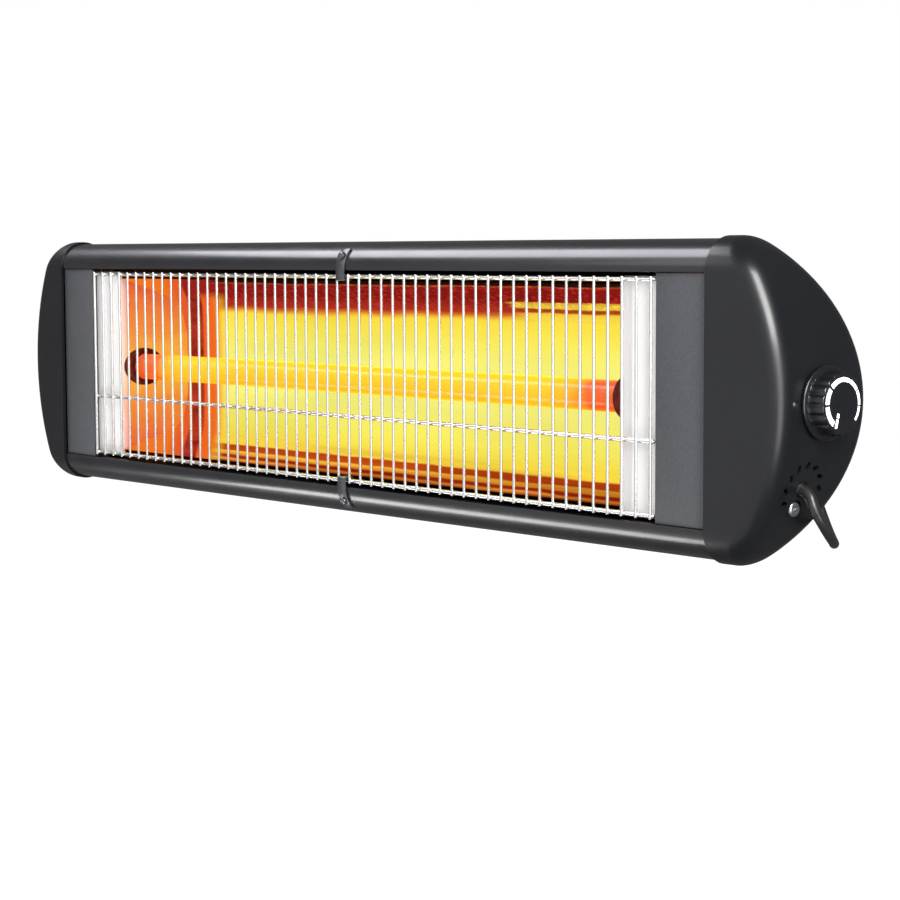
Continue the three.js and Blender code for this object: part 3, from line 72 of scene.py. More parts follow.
GUARD_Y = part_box("wire_guard")[0].y + 1 * MM  # the plane of the guard wires
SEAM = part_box("rear_casing")[1].x + CLEAR  # where a cap meets the casing
CAP_LOW, CAP_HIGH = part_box("right_end_cap")
END_X = CAP_HIGH.x
HALF_HEIGHT = CAP_HIGH.z
KNOB_LOW, KNOB_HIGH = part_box("knob")
KNOB_Y = (KNOB_LOW.y + KNOB_HIGH.y) / 2
TUBE_LOW, TUBE_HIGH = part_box("quartz_tube")
TUBE_Y = (TUBE_LOW.y + TUBE_HIGH.y) / 2
TUBE_Z = (TUBE_LOW.z + TUBE_HIGH.z) / 2


def deep(distance):
    """The world's Y of a depth in millimetres behind the guard wires."""
    return GUARD_Y + distance * MM


# ---- Settings -----------------------------------------------------------------------------------
def length(label, value, note):
    return FloatProperty(
        name=label, description=note, default=value, min=0, unit="LENGTH", precision=5
    )


def count(label, value, note):
    return IntProperty(name=label, description=note, default=value, min=1)


def colour(label, value, note):
    return FloatVectorProperty(
        name=label, description=note, default=value, size=3, min=0, max=1, subtype="COLOR"
    )


def shade(red, green, blue):
    """A colour written in screen values from 0 to 255, as Blender's linear colour."""
    parts = [value / 255 for value in (red, green, blue)]
    return tuple(p / 12.92 if p <= 0.04045 else ((p + 0.055) / 1.055) ** 2.4 for p in parts)


class HousingSizes(bpy.types.PropertyGroup):
    corner_radius: length("Front corner", 22.1 * MM, "Rounding from the front to top and bottom")
    shoulder_radius: length("Back shoulder", 24 * MM, "Rounding from the back curve to the top")
    proud: length("Caps proud", 1.7 * MM, "How far the caps stand outside the sheet casing")
    crease_radius: length("Cap crease", 14 * MM, "Rounding between a cap's front and its end")
    back_round: length("Cap back edge", 9 * MM, "Rounding between a cap's back and its end")
    top_width: length("Cap width at the top", 21.4 * MM, "Seam to the end face at the top")
    lean: length("Cap lean", 3.2 * MM, "How far a cap's front runs back over its width")
    cap_wall: length("Cap wall", 2.5 * MM, "Thickness of a moulded cap")
    sheet: length("Casing sheet", 1.6 * MM, "Thickness of the casing's sheet")
    rail_wall: length("Rail wall", 2.2 * MM, "Thickness of the rails beside the window")
    rail_lip: length("Rail lip", 9.5 * MM, "Depth of the rails' edges at the window")


class GuardSizes(bpy.types.PropertyGroup):
    wires: count("Wires", 52, "Upright wires of the guard")
    pitch: length("Pitch", 12 * MM, "Distance between the wires")
    wire: length("Wire", 2 * MM, "Diameter of an upright wire")
    rod: length("Rod", 3 * MM, "Diameter of a cross rod")
    clip_width: length("Clip width", 8.4 * MM, "Width of the two clips")


class KnobSizes(bpy.types.PropertyGroup):
    flutes: count("Flutes", 18, "Grip flutes round the knob")
    flute_depth: length("Flute depth", 1.0 * MM, "How deep the flutes are cut")
    scale_radius: length("Scale radius", 15.4 * MM, "Outer edge of the printed ring scale")
    print_height: length("Print height", 0.12 * MM, "How far the white print stands up")


class CordSizes(bpy.types.PropertyGroup):
    diameter: length("Diameter", 6 * MM, "Diameter of the supply cord")
    total: length("Length", 1.51, "Length of the supply cord outside the housing")
    turns: count("Hank turns", 4, "Loops of the hank behind the heater")


class HeaterColours(bpy.types.PropertyGroup):
    paint: colour("Paint", shade(20, 20, 24), "Satin black of the casing and rails")
    moulded: colour("Moulded caps", shade(13, 14, 17), "Black plastic of the caps and the knob")
    plate: colour("Side plates", shade(80, 81, 85), "Grey of the plates beside the window")
    bright: colour("Bright metal", (0.92, 0.91, 0.9), "Polished reflector and chrome wires")
    # Painted light: the pale, orange and deep red colours are the tube's light painted as emission
    # on the reflector and its end walls; the amber is the tube's own glow.
    glow_pale: colour("Pale glow", shade(248, 245, 124), "Reflector behind the hot tube")
    glow_amber: colour("Amber glow", shade(254, 206, 16), "The hot part of the tube")
    glow_orange: colour("Orange glow", shade(244, 118, 30), "Reflector beyond the hot part")
    glow_red: colour("Deep red glow", shade(152, 32, 26), "Upper facet of the reflector")
    print_white: colour("Print", (0.9, 0.9, 0.9), "Ring scale on the knob")
    rubber: colour("Rubber", shade(22, 22, 23), "Cord, plug and strain relief")


class StageSettings(bpy.types.PropertyGroup):
    lens: FloatProperty(
        name="Lens", description="Focal length of the camera", default=90, unit="CAMERA"
    )
    floor_drop: length("Floor drop", 0.62, "How far the floor lies below the origin")


# ---- Mesh helpers -------------------------------------------------------------------------------
def in_mm(pairs):
    return [(first * MM, second * MM) for first, second in pairs]


def link(name, data):
    """A new object in the scene."""
    piece = bpy.data.objects.new(name, data)
    bpy.context.scene.collection.objects.link(piece)
    return piece


def make_piece(name, vertices, faces):
    """An object of points and faces, without double points and with its faces turned outwards."""
    mesh = bpy.data.meshes.new(name)
    mesh.from_pydata([tuple(v) for v in vertices], [], faces)
    tidy = bmesh.new()
    tidy.from_mesh(mesh)
    bmesh.ops.remove_doubles(tidy, verts=tidy.verts, dist=1e-7)
    bmesh.ops.recalc_face_normals(tidy, faces=tidy.faces)
    tidy.to_mesh(mesh)
    tidy.free()
    return link(name, mesh)


def loft(rings, caps=True, wrap=False):
    """Faces between rings of equal count; flat ends, or the last ring joined to the first."""
    size = len(rings[0])
    faces = []
    for k in range(len(rings) - (0 if wrap else 1)):
        here, there = k * size, (k + 1) % len(rings) * size
        for i in range(size):
            j = (i + 1) % size
            faces.append((here + i, here + j, there + j, there + i))
    if caps and not wrap:
        last = (len(rings) - 1) * size
        faces += [tuple(range(size))[::-1], tuple(range(last, last + size))]
    return [point for ring in rings for point in ring], faces


def merge(*parts):
    """Several (vertices, faces) pairs as one."""
    vertices, faces = [], []
    for some, more in parts:
        start = len(vertices)
        vertices.extend(some)
        faces.extend(tuple(start + i for i in face) for face in more)
    return vertices, faces


def polar(y, z, radius, angle):
    """A point in the YZ plane round a centre."""
    return y + radius * math.cos(angle), z + radius * math.sin(angle)


def arc(y, z, radius, start, end, steps):
    """Points in the YZ plane from one angle to another, in degrees."""
    angles = [math.radians(start + (end - start) * k / steps) for k in range(steps + 1)]
    return [polar(y, z, radius, angle) for angle in angles]


def circle(centre, across, upward, radius, steps):
    """Points round a centre, in the plane of two directions."""
    turns = [2 * math.pi * k / steps for k in range(steps)]
    return [centre + (across * math.cos(t) + upward * math.sin(t)) * radius for t in turns]


def round_line(points, radius, steps=5, closed=False):
    """A line of 2D points with its corners turned into arcs."""
    points = [Vector(p) for p in points]
    result = []
    for i, corner in enumerate(points):
        if not closed and i in (0, len(points) - 1):
            result.append(corner)
            continue
        back = points[i - 1] - corner
        ahead = points[(i + 1) % len(points)] - corner
        reach = radius / math.tan(back.angle(ahead) / 2)
        reach = min(reach, back.length * 0.49, ahead.length * 0.49)
        start = corner + back.normalized() * reach
        end = corner + ahead.normalized() * reach
        for k in range(steps + 1):
            t = k / steps
            result.append(start * (1 - t) ** 2 + corner * 2 * t * (1 - t) + end * t * t)
    return result


def thicken(line, thickness):
    """A closed outline round an open line, with the thickness on its left."""
    line = [Vector(p) for p in line]
    other = []
    for i, point in enumerate(line):
        before = (point - line[i - 1]).normalized() if i else None
        after = (line[i + 1] - point).normalized() if i < len(line) - 1 else None
        before = before or after
        after = after or before
        way = Vector((-before.y - after.y, before.x + after.x)).normalized()
        reach = thickness / max(0.3, way.dot(Vector((-before.y, before.x))))
        other.append(point + way * reach)
    return line + other[::-1]


def prism_x(outline, x0, x1):
    """A YZ outline drawn out along X."""
    return loft([[(x, p[0], p[1]) for p in outline] for x in (x0, x1)])


def sweep(points, radii, sides=16, domed=False):
    """A round tube along points, with a radius at each, and flat or domed ends."""
    points = [Vector(p) for p in points]
    radii = list(radii) if isinstance(radii, (list, tuple)) else [radii] * len(points)
    if domed:
        first = (points[0] - points[1]).normalized()
        last = (points[-1] - points[-2]).normalized()
        turns = [math.radians(a) for a in (72, 45, 20)]
        shrunk = [math.cos(t) for t in turns]
        head = [points[0] + first * radii[0] * math.sin(t) for t in turns]
        tail = [points[-1] + last * radii[-1] * math.sin(t) for t in turns]
        points = head + points + tail[::-1]
        radii = [radii[0] * c for c in shrunk] + radii + [radii[-1] * c for c in shrunk[::-1]]
    heading = (points[1] - points[0]).normalized()
    across = heading.orthogonal().normalized()
    rings = []
    for i, point in enumerate(points):
        heading = (points[min(i + 1, len(points) - 1)] - points[max(i - 1, 0)]).normalized()
        across = (across - heading * across.dot(heading)).normalized()
        rings.append(circle(point, across, heading.cross(across), radii[i], sides))
    return loft(rings)


def rod_x(y, z, diameter, x0, x1, sides=40):
    return sweep([(x0, y, z), (x1, y, z)], diameter / 2, sides)


def turned(profile, centre, axis, steps=48):
    """A lathe body: (radius, height) pairs from pole to pole, round an axis through a centre."""
    axis = Vector(axis).normalized()
    across = axis.orthogonal().normalized()
    upward = axis.cross(across)
    rings = []
    for radius, height in profile:
        middle = Vector(centre) + axis * height
        rings.append(circle(middle, across, upward, max(radius, 1e-9), steps))
    return loft(rings, caps=False)


def centripetal(points, per_span=8):
    """Points on the smooth curve through the given ones."""
    points = [Vector(p) for p in points]
    ends = [points[0] * 2 - points[1]] + points + [points[-1] * 2 - points[-2]]
    result = []
    for i in range(1, len(ends) - 2):
        p0, p1, p2, p3 = ends[i - 1 : i + 3]
        d01, d12, d23 = ((b - a).length ** 0.5 for a, b in ((p0, p1), (p1, p2), (p2, p3)))
        m1 = ((p1 - p0) / d01 - (p2 - p0) / (d01 + d12) + (p2 - p1) / d12) * d12
        m2 = ((p2 - p1) / d12 - (p3 - p1) / (d12 + d23) + (p3 - p2) / d23) * d12
        for k in range(per_span):
            t = k / per_span
            a, b = 2 * t**3 - 3 * t**2 + 1, t**3 - 2 * t**2 + t
            c, d = 3 * t**2 - 2 * t**3, t**3 - t**2
            result.append(p1 * a + m1 * b + p2 * c + m2 * d)
    return result + [points[-1]]


def settle(piece):
    """Applies a piece's modifiers."""
    graph = bpy.context.evaluated_depsgraph_get()
    graph.update()
    mesh = bpy.data.meshes.new_from_object(piece.evaluated_get(graph))
    piece.modifiers.clear()
    piece.data = mesh


def carve(piece, tools, operation="DIFFERENCE"):
    """Cuts or joins helper bodies, given as (vertices, faces)."""
    for number, tool in enumerate(tools):
        body = make_piece(f"{piece.name}_tool_{number}", *tool)
        step = piece.modifiers.new("carve", "BOOLEAN")
        step.object = body
        step.operation = operation
        step.solver = "EXACT"
        settle(piece)
        bpy.data.objects.remove(body)


def soften(piece, edge, segments=2):
    """Rounds a piece's hard edges."""
    step = piece.modifiers.new("edges", "BEVEL")
    step.width = edge
    step.segments = segments
    step.limit_method = "ANGLE"
    step.angle_limit = math.radians(35)
    settle(piece)


def mirror(piece, axis):
    piece.data.transform(Matrix.Scale(-1, 4, axis))
    piece.data.flip_normals()


def settle_in(piece, finish, node, angle=32):
    """Gives a piece its finish and smoothness, puts it under the body of the node it stands for,
    and hides that node.
    """
    piece.data.materials.clear()
    piece.data.materials.append(finish_of(finish))
    piece.data.shade_smooth()
    piece.data.set_sharp_from_angle(angle=math.radians(angle))
    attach(piece, BODY_OF[node])
    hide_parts(node)
    return piece


def dressed_copy(node, name, finish, edge, segments=2):
    """A node's own form with its hard edges rounded."""
    mesh = frame["nodes"][node].data.copy()
    piece = link(name, mesh)
    tidy = bmesh.new()
    tidy.from_mesh(mesh)
    bmesh.ops.remove_doubles(tidy, verts=tidy.verts, dist=2e-6)
    flat = math.radians(0.6)
    bmesh.ops.dissolve_limit(tidy, angle_limit=flat, verts=tidy.verts, edges=tidy.edges)
    tidy.to_mesh(mesh)
    tidy.free()
    for layer in list(mesh.attributes):
        if layer.name == "custom_normal":
            mesh.attributes.remove(layer)
    if edge:
        soften(piece, edge, segments)
    return settle_in(piece, finish, node)


# ---- Finishes -----------------------------------------------------------------------------------
def opaque(value):
    """A colour of three parts with its alpha; anything else as it is."""
    return (*value, 1) if isinstance(value, tuple) else value


def scaled(tint, factor):
    return tuple(part * factor for part in tint)


def own(name):
    """One of the heater's colours."""
    return tuple(getattr(bpy.context.scene.heater_colours, name))


class Nodes:
    """A tree of shader nodes, and the steps that the finishes are made of."""

    def __init__(self, tree):
        self.tree = tree

    def join(self, socket, value):
        """Links an output to a socket, or sets the socket itself."""
        if isinstance(value, bpy.types.NodeSocket):
            self.tree.links.new(value, socket)
        else:
            socket.default_value = value

    def node(self, kind, inputs=None, **settings):
        node = self.tree.nodes.new(f"ShaderNode{kind}")
        for key, value in settings.items():
            setattr(node, key, value)
        for key, value in (inputs or {}).items():
            self.join(node.inputs[key], value)
        return node

    def place(self, stretch=(1, 1, 1)):
        """The place on the object, scaled."""
        spot = self.node("TexCoord").outputs["Object"]
        return self.node("Mapping", {"Vector": spot, "Scale": stretch}).outputs["Vector"]

    def parts(self, vector):
        return self.node("SeparateXYZ", {"Vector": vector}).outputs

    def noise(self, grain, detail=2.0, stretch=(1, 1, 1), rough=0.5):
        """Soft noise whose lumps are about grain metres wide."""
        inputs = {"Scale": 1 / grain, "Detail": detail, "Roughness": rough}
        return self.node("TexNoise", {"Vector": self.place(stretch), **inputs}).outputs["Fac"]

    def cells(self, grain, feature="F1", stretch=(1, 1, 1)):
        inputs = {"Vector": self.place(stretch), "Scale": 1 / grain}
        return self.node("TexVoronoi", inputs, feature=feature).outputs["Distance"]

    def math(self, operation, first, second):
        return self.node("Math", {0: first, 1: second}, operation=operation).outputs["Value"]

    def between(self, factor, low, high, start=0.0, end=1.0):
        """A factor between start and end, stretched to run from low to high."""
        inputs = {"Value": factor, "From Min": start, "From Max": end}
        inputs.update({"To Min": low, "To Max": high})
        return self.node("MapRange", inputs).outputs["Result"]

    def waver(self, low, high, grain, detail=2.0, stretch=(1, 1, 1)):
        """A number that wanders between low and high over the surface."""
        return self.between(self.noise(grain, detail, stretch), low, high, 0.3, 0.7)

    def ramp(self, factor, stops):
        """Linear colours along a factor."""
        node = self.node("ValToRGB", {"Fac": factor})
        elements = node.color_ramp.elements
        while len(elements) < len(stops):
            elements.new(1.0)
        for element, (at, value) in zip(elements, stops):
            element.position = at
            element.color = opaque(value)
        return node.outputs["Color"]

    def bands(self, factor, stops):
        """Screen values, or the heater's colours by name, along a factor."""
        stops = [(at, own(v) if isinstance(v, str) else shade(*v)) for at, v in stops]
        return self.ramp(factor, stops)

    def mix(self, factor, first, second, blend="MIX"):
        node = self.node("Mix", data_type="RGBA", blend_type=blend)
        first_socket, second_socket = [s for s in node.inputs if s.type == "RGBA"]
        self.join(node.inputs["Factor"], factor)
        self.join(first_socket, opaque(first))
        self.join(second_socket, opaque(second))
        return [s for s in node.outputs if s.type == "RGBA"][0]

    def times(self, first, second):
        """A colour multiplied by another."""
        return self.mix(1.0, first, second, "MULTIPLY")


class Finish(Nodes):
    """A material of one Principled shader, with what varies over the surface linked to it."""

    def __init__(self, name, **constants):
        self.material = bpy.data.materials.new(name)
        self.material.use_nodes = True
        super().__init__(self.material.node_tree)
        self.tree.nodes.clear()
        self.shader = self.node("BsdfPrincipled")
        self.node("OutputMaterial", {"Surface": self.shader.outputs["BSDF"]})
        for key, value in constants.items():
            socket = key.replace("_", " ").title().replace("Ior", "IOR")
            self.feed(socket, opaque(value))

    def feed(self, socket, value):
        self.join(self.shader.inputs[socket], value)

    def bump(self, height, depth):
        node = self.node("Bump", {"Height": height, "Distance": depth})
        self.feed("Normal", node.outputs["Normal"])

    def varied(self, tint, spread, grain, roughness, rough_spread):
        """Slight variation of colour and gloss over the surface."""
        low, high = scaled(tint, 1 - spread), scaled(tint, 1 + spread)
        self.feed("Base Color", self.ramp(self.noise(grain, 3), [(0.3, low), (0.7, high)]))
        lows, highs = roughness - rough_spread, roughness + rough_spread
        self.feed("Roughness", self.waver(lows, highs, grain * 0.6, 4))

    def faces_tube(self):
        """1 on the side of a sheet that looks at the heating tube, 0 on its other side: where the
        painted glow shows.
        """
        spot = self.node("TexCoord").outputs
        value, tube = spot["Object"], (0, TUBE_Y, TUBE_Z)
        steps = {"SUBTRACT": tube, "MULTIPLY": (0, 1, 1), "DOT_PRODUCT": spot["Normal"]}
        for operation, other in steps.items():
            node = self.node("VectorMath", {0: value, 1: other}, operation=operation)
            value = node.outputs[0]
        return self.math("LESS_THAN", node.outputs["Value"], 0.0)

    def glows(self, emission):
        """Emission to the eye, not sampled as a lamp: the tube's glow, and the tube's light painted
        on the reflector and walls.
        """
        self.feed("Emission Color", emission)
        self.material.cycles.emission_sampling = "NONE"


# Each plain finish: its words, its shader's constants, its colour, how far that varies and at what
# grain, its roughness and how far that varies, and the grain, detail and depth of its relief in mm.
PLAIN_FINISHES = {
    "satin_black": (  # powder coat of the casing and the rails, with a fine orange peel
        "satin black paint",
        {"specular_ior_level": 0.32, "coat_weight": 0.35, "coat_roughness": 0.14},
        "paint", (0.12, 0.05), (0.3, 0.03), (1.6, 3, 0.012),
    ),
    "moulded_black": (  # fine-grained plastic of the caps
        "moulded black plastic",
        {"specular_ior_level": 0.26, "coat_weight": 0.22, "coat_roughness": 0.2},
        "moulded", (0.1, 0.04), (0.36, 0.03), (0.7, 4, 0.012),
    ),
    "knob_black": (  # glossier plastic of the knob
        "knob plastic", {"specular_ior_level": 0.5},
        "moulded", (0.1, 0.02), (0.27, 0.04), (0.9, 3, 0.008),
    ),
    "steel": (  # frames, brackets and fasteners
        "zinc plated steel", {"metallic": 1.0},
        (0.5, 0.51, 0.52), (0.1, 0.008), (0.32, 0.08), (0.6, 3, 0.01, (1, 1, 3)),
    ),
    "clip_steel": (  # the guard's clips and their screws
        "blackened steel", {"metallic": 0.7, "specular_ior_level": 0.5},
        (0.075, 0.077, 0.085), (0.15, 0.004), (0.3, 0.06), (0.8, 3, 0.01),
    ),
    "ceramic": (  # the tube's holders: dark ceramic, with the tube's red glow painted into its colour as a red tint
        "dark ceramic", {"specular_ior_level": 0.1},
        shade(78, 20, 12), (0.3, 0.004), (0.62, 0.1), (0.8, 4, 0.03),
    ),
    "bakelite": (
        "pressed bakelite", {"specular_ior_level": 0.45},
        shade(50, 44, 40), (0.2, 0.006), (0.45, 0.06), (0.9, 3, 0.01),
    ),
    "pale_plastic": (
        "pale nylon", {"specular_ior_level": 0.4},
        shade(214, 210, 196), (0.05, 0.006), (0.5, 0.06), (0.8, 3, 0.01),
    ),
    "rubber": (  # cord, plug and strain relief
        "black rubber", {"specular_ior_level": 0.5},
        "rubber", (0.15, 0.01), (0.36, 0.06), (0.9, 3, 0.01),
    ),
    "print_white": (  # the knob's scale
        "white print", {"specular_ior_level": 0.4}, "print_white", (0.04, 0.003), (0.45, 0.05),
    ),
    "print_grey": (  # the index mark on the cap
        "grey print", {"specular_ior_level": 0.4},
        shade(80, 80, 82), (0.05, 0.002), (0.5, 0.05),
    ),
}


def plain_finish(words, constants, tint, colour_change, gloss, relief=None):
    finish = Finish(words, **constants)
    finish.varied(own(tint) if isinstance(tint, str) else tint, *colour_change, *gloss)
    if relief:
        grain, detail, depth, *stretch = relief
        finish.bump(finish.noise(grain * MM, detail, *stretch), depth * MM)
    return finish


def chrome_finish():
    """Bright plating of the guard wires and the plug's pins."""
    finish = Finish("chrome plating", metallic=0.9)
    finish.varied(scaled(own("bright"), 0.68), 0.04, 0.01, 0.24, 0.05)
    finish.bump(finish.noise(6 * MM, 2), 0.004 * MM)
    return finish


def plate_grey_finish():
    """Grey metallic paint of the side plates, with a fine grain."""
    finish = Finish("grained grey paint", metallic=0.6, specular_ior_level=0.4)
    stops = [(0.3, scaled(own("plate"), 0.8)), (0.7, scaled(own("plate"), 1.2))]
    finish.feed("Base Color", finish.ramp(finish.noise(0.9 * MM, 4, rough=0.7), stops))
    finish.feed("Roughness", finish.waver(0.4, 0.5, 6 * MM, 4))
    finish.bump(finish.noise(0.8 * MM, 4, rough=0.65), 0.05 * MM)
    return finish


def heating_wire_finish():
    finish = Finish("glowing winding", metallic=0.6, emission_strength=1.4)
    finish.varied((0.6, 0.22, 0.06), 0.15, 0.01, 0.5, 0.06)
    stops = [(0.3, (255, 120, 20)), (0.7, (255, 190, 60))]
    finish.feed("Emission Color", finish.bands(finish.noise(6 * MM), stops))
    return finish


def wire_sleeve_finish():
    """Braided sleeve on the inner wires."""
    finish = Finish("braided sleeve", specular_ior_level=0.25)
    weave = finish.cells(0.5 * MM, stretch=(0.6, 1, 1))
    stops = [(0.1, (176, 78, 52)), (0.6, (120, 44, 30))]
    finish.feed("Base Color", finish.bands(weave, stops))
    finish.feed("Roughness", finish.waver(0.6, 0.8, 2 * MM))
    finish.bump(weave, 0.1 * MM)
    return finish


STRIP_FOLD = (274.5 * MM, 277.2 * MM)  # from the middle: wall inside the first, strip past the last
WALL_HEIGHTS = (4 * MM, 66 * MM)  # from the tube's middle: where the walls' painted glow starts and ends
# The tube's light painted as emission on the slanted end walls, by height from the tube.
PAINTED_WALL_GLOW = [
    (0.12, (255, 172, 44)), (0.34, (248, 142, 36)), (0.66, "glow_orange"), (0.9, (238, 98, 34)),
    (1.0, (216, 74, 34)),
]


def strip_finish():
    """Polished folded strips beside the window; the slanted walls behind them have the tube's light
    painted on them, as a dark orange tint and an emission glow.
    """
    finish = Finish("polished strip", metallic=0.5, emission_strength=0.86)
    spot = finish.parts(finish.place())
    inside = finish.between(finish.math("ABSOLUTE", spot["X"], 0.0), 1.0, 0.0, *STRIP_FOLD)
    # The walls' dark orange tint is painted light, like their emission.
    strip, wall = scaled(own("bright"), 0.88), scaled(own("glow_orange"), 0.05)
    finish.feed("Base Color", finish.mix(inside, strip, wall))
    finish.feed("Roughness", finish.waver(0.3, 0.4, 8 * MM, 3))
    # Painted glow: strongest at the tube's height, fading up and down the walls.
    near = finish.math("ABSOLUTE", finish.math("SUBTRACT", spot["Z"], TUBE_Z), 0.0)
    rise = finish.math("ADD", near, finish.waver(-6 * MM, 6 * MM, 14 * MM, 2))
    glow = finish.bands(finish.between(rise, 0.0, 1.0, *WALL_HEIGHTS), PAINTED_WALL_GLOW)
    finish.glows(finish.mix(inside, (0.0, 0.0, 0.0), glow))
    finish.bump(finish.noise(4 * MM, 2), 0.02 * MM)
    return finish


# The tube's light painted on the reflector as emission, a painted reflection. DOWN runs over the
# folded sheet from its top front edge (0) to its bottom front edge (1); ACROSS runs from the left
# end of its mouth (0) to the right end (1).
PAINTED_GLOW_DOWN = [
    (0.0, (30, 16, 14)), (0.028, (44, 20, 17)), (0.036, (196, 84, 44)), (0.048, "glow_red"),
    (0.15, "glow_red"), (0.245, (176, 48, 34)), (0.262, (216, 112, 38)), (0.282, (252, 222, 62)),
    (0.36, (248, 236, 92)), (0.46, "glow_pale"), (0.6, "glow_pale"), (0.74, (246, 234, 88)),
    (0.8, (250, 222, 70)), (0.862, (250, 212, 64)), (0.872, (176, 62, 16)), (0.912, (190, 72, 20)),
    (0.922, (250, 196, 62)), (0.944, (240, 156, 50)), (0.954, (156, 42, 15)), (0.97, (166, 50, 18)),
    (0.98, (244, 166, 58)), (0.992, (206, 104, 40)), (1.0, (70, 22, 12)),
]
PAINTED_PATCH_GLOW = [  # down the painted bright patch, a painted reflection, in the upper facet, near the right end
    (0.17, "glow_red"), (0.18, (250, 206, 66)), (0.222, (252, 222, 74)), (0.228, (168, 60, 20)),
    (0.243, (176, 74, 24)), (0.25, (248, 206, 66)), (0.29, (250, 232, 72)),
]
PATCH_ACROSS, PATCH_TOP, PATCH_BOTTOM = (0.765, 0.785), (0.168, 0.172), (0.27, 0.3)
PAINTED_COLD_END_GLOW = [  # across the left end, where the painted glow is weaker and redder
    (0.0, "glow_orange"), (0.03, (232, 92, 40)), (0.078, (226, 84, 36)), (0.084, (240, 98, 30)),
    (0.108, (242, 106, 32)), (0.118, (246, 140, 34)), (0.13, (250, 196, 44)), (0.15, "glow_amber"),
]
MAROON_FROM, MAROON_TO = (0.044, 0.05), (0.078, 0.084)  # the painted dark upright band, across
ROOF_DOWN, ROOF_ACROSS = (0.13, 0.22), (0.044, 0.054)  # the painted red upper facet of the left end
COLD_END = (0.112, 0.145)
FACET_DOWN, LINES_DOWN = (0.17, 0.26), (0.8, 0.88)  # where the painted facet ends and the painted lines start
COLD_SLANT = 1.144  # how far the left end's painted pattern leans over in X with depth
MIRROR_LINE = [(6, 67.7), (43, 51.7), (49, 44.7), (53, 23.7)]  # depth and height of folds, in mm
MIRROR_MOUTH = 276.5  # half length of the trough at its front, in mm


def reflector_finish():
    """Hammered polished sheet with a dark red tint and the tube's light painted on it as emission:
    painted deep red above, pale yellow behind, lines below.
    """
    finish = Finish(
        "hammered reflector", metallic=1.0, specular_tint=(0.12, 0.04, 0.02),
        base_color=(0.045, 0.02, 0.008),
    )
    sheet = finish.parts(finish.node("UVMap", uv_map="sheet").outputs["UV"])
    wander = finish.waver(-0.005, 0.005, 45 * MM, 2, (1, 3, 3))
    down = finish.math("ADD", sheet["Y"], wander)
    # hot: the tube's light painted down the sheet; patch: a painted bright reflection.
    hot, patch = finish.bands(down, PAINTED_GLOW_DOWN), finish.bands(down, PAINTED_PATCH_GLOW)
    across = finish.math("ADD", sheet["X"], finish.math("MULTIPLY", wander, 6.0))
    beyond = finish.between(across, 0.0, 1.0, *PATCH_ACROSS)
    above = finish.between(down, 1.0, 0.0, *PATCH_BOTTOM)
    within = finish.math("MULTIPLY", beyond, above)
    within = finish.math("MULTIPLY", within, finish.between(down, 0.0, 1.0, *PATCH_TOP))
    hot = finish.mix(within, hot, patch)
    # Painted glints and dark spots of the hammered dimples in the upper facet.
    painted_dimple_glints = [(0.1, (1.75, 1.5, 1.4)), (0.5, (0.7, 0.62, 0.62))]
    painted_dimple_glow = finish.times(hot, finish.ramp(finish.cells(4.4 * MM), painted_dimple_glints))
    hot = finish.mix(finish.between(sheet["Y"], 1.0, 0.0, *FACET_DOWN), hot, painted_dimple_glow)
    # Painted reflection lines on the lower facets.
    painted_streaks = finish.noise(30 * MM, 3, (0.12, 1, 2.2))
    grain = finish.ramp(painted_streaks, [(0.36, (0.6, 0.46, 0.36)), (0.56, (1.06, 1.06, 1.0))])
    low = finish.between(sheet["Y"], 0.0, 1.0, *LINES_DOWN)
    hot = finish.mix(low, hot, finish.times(hot, grain))
    hot = finish.times(hot, finish.waver(0.9, 1.08, 60 * MM, 3, (0.3, 1, 1.6)))
    # Painted dark maroon band, and the weaker painted glow (cold) at the left end.
    stops = [(0.35, (128, 24, 18)), (0.62, (186, 56, 42))]
    maroon = finish.bands(finish.noise(16 * MM, 3, (0.4, 1, 1)), stops)
    spot = finish.parts(finish.place())
    behind = finish.math("SUBTRACT", spot["Y"], deep(MIRROR_LINE[-1][0]))
    slant = finish.math("ADD", spot["X"], finish.math("MULTIPLY", behind, COLD_SLANT))
    across = finish.between(slant, 0.0, 1.0, -MIRROR_MOUTH * MM, MIRROR_MOUTH * MM)
    band = finish.math(
        "MULTIPLY",
        finish.between(across, 0.0, 1.0, *MAROON_FROM),
        finish.between(across, 1.0, 0.0, *MAROON_TO),
    )
    cold = finish.mix(band, finish.bands(across, PAINTED_COLD_END_GLOW), maroon)
    roof = finish.math(
        "MULTIPLY",
        finish.between(sheet["Y"], 1.0, 0.0, *ROOF_DOWN),
        finish.between(across, 0.0, 1.0, *ROOF_ACROSS),
    )
    cold = finish.mix(roof, cold, own("glow_red"))
    finish.glows(finish.mix(finish.between(across, 1.0, 0.0, *COLD_END), hot, cold))
    # The painted glow shows only on the side that faces the tube.
    finish.feed("Emission Strength", finish.math("MULTIPLY", finish.faces_tube(), 0.98))
    finish.feed("Roughness", finish.waver(0.22, 0.36, 5 * MM, 3))
    finish.bump(finish.cells(5 * MM, "SMOOTH_F1"), 0.25 * MM)
    return finish


TUBE_COLD_ENDS = (200 * MM, 266 * MM)  # from the middle: where the glow fades to the painted red of the unheated ends
# The winding's amber glow, then the painted red glow of the cold ends.
TUBE_BANDS = [
    (0.0, "glow_amber"), (0.34, (255, 186, 16)), (0.5, (252, 150, 22)), (0.6, (244, 98, 26)),
    (1.0, (236, 86, 32)),
]
# Painted shade and highlight: the tube redder and darker low, whiter high.
TUBE_PAINTED_SHADE = [(0.1, (1.0, 0.84, 0.5)), (0.5, (1.0, 1.0, 1.0)), (0.9, (1.0, 1.18, 3.2))]


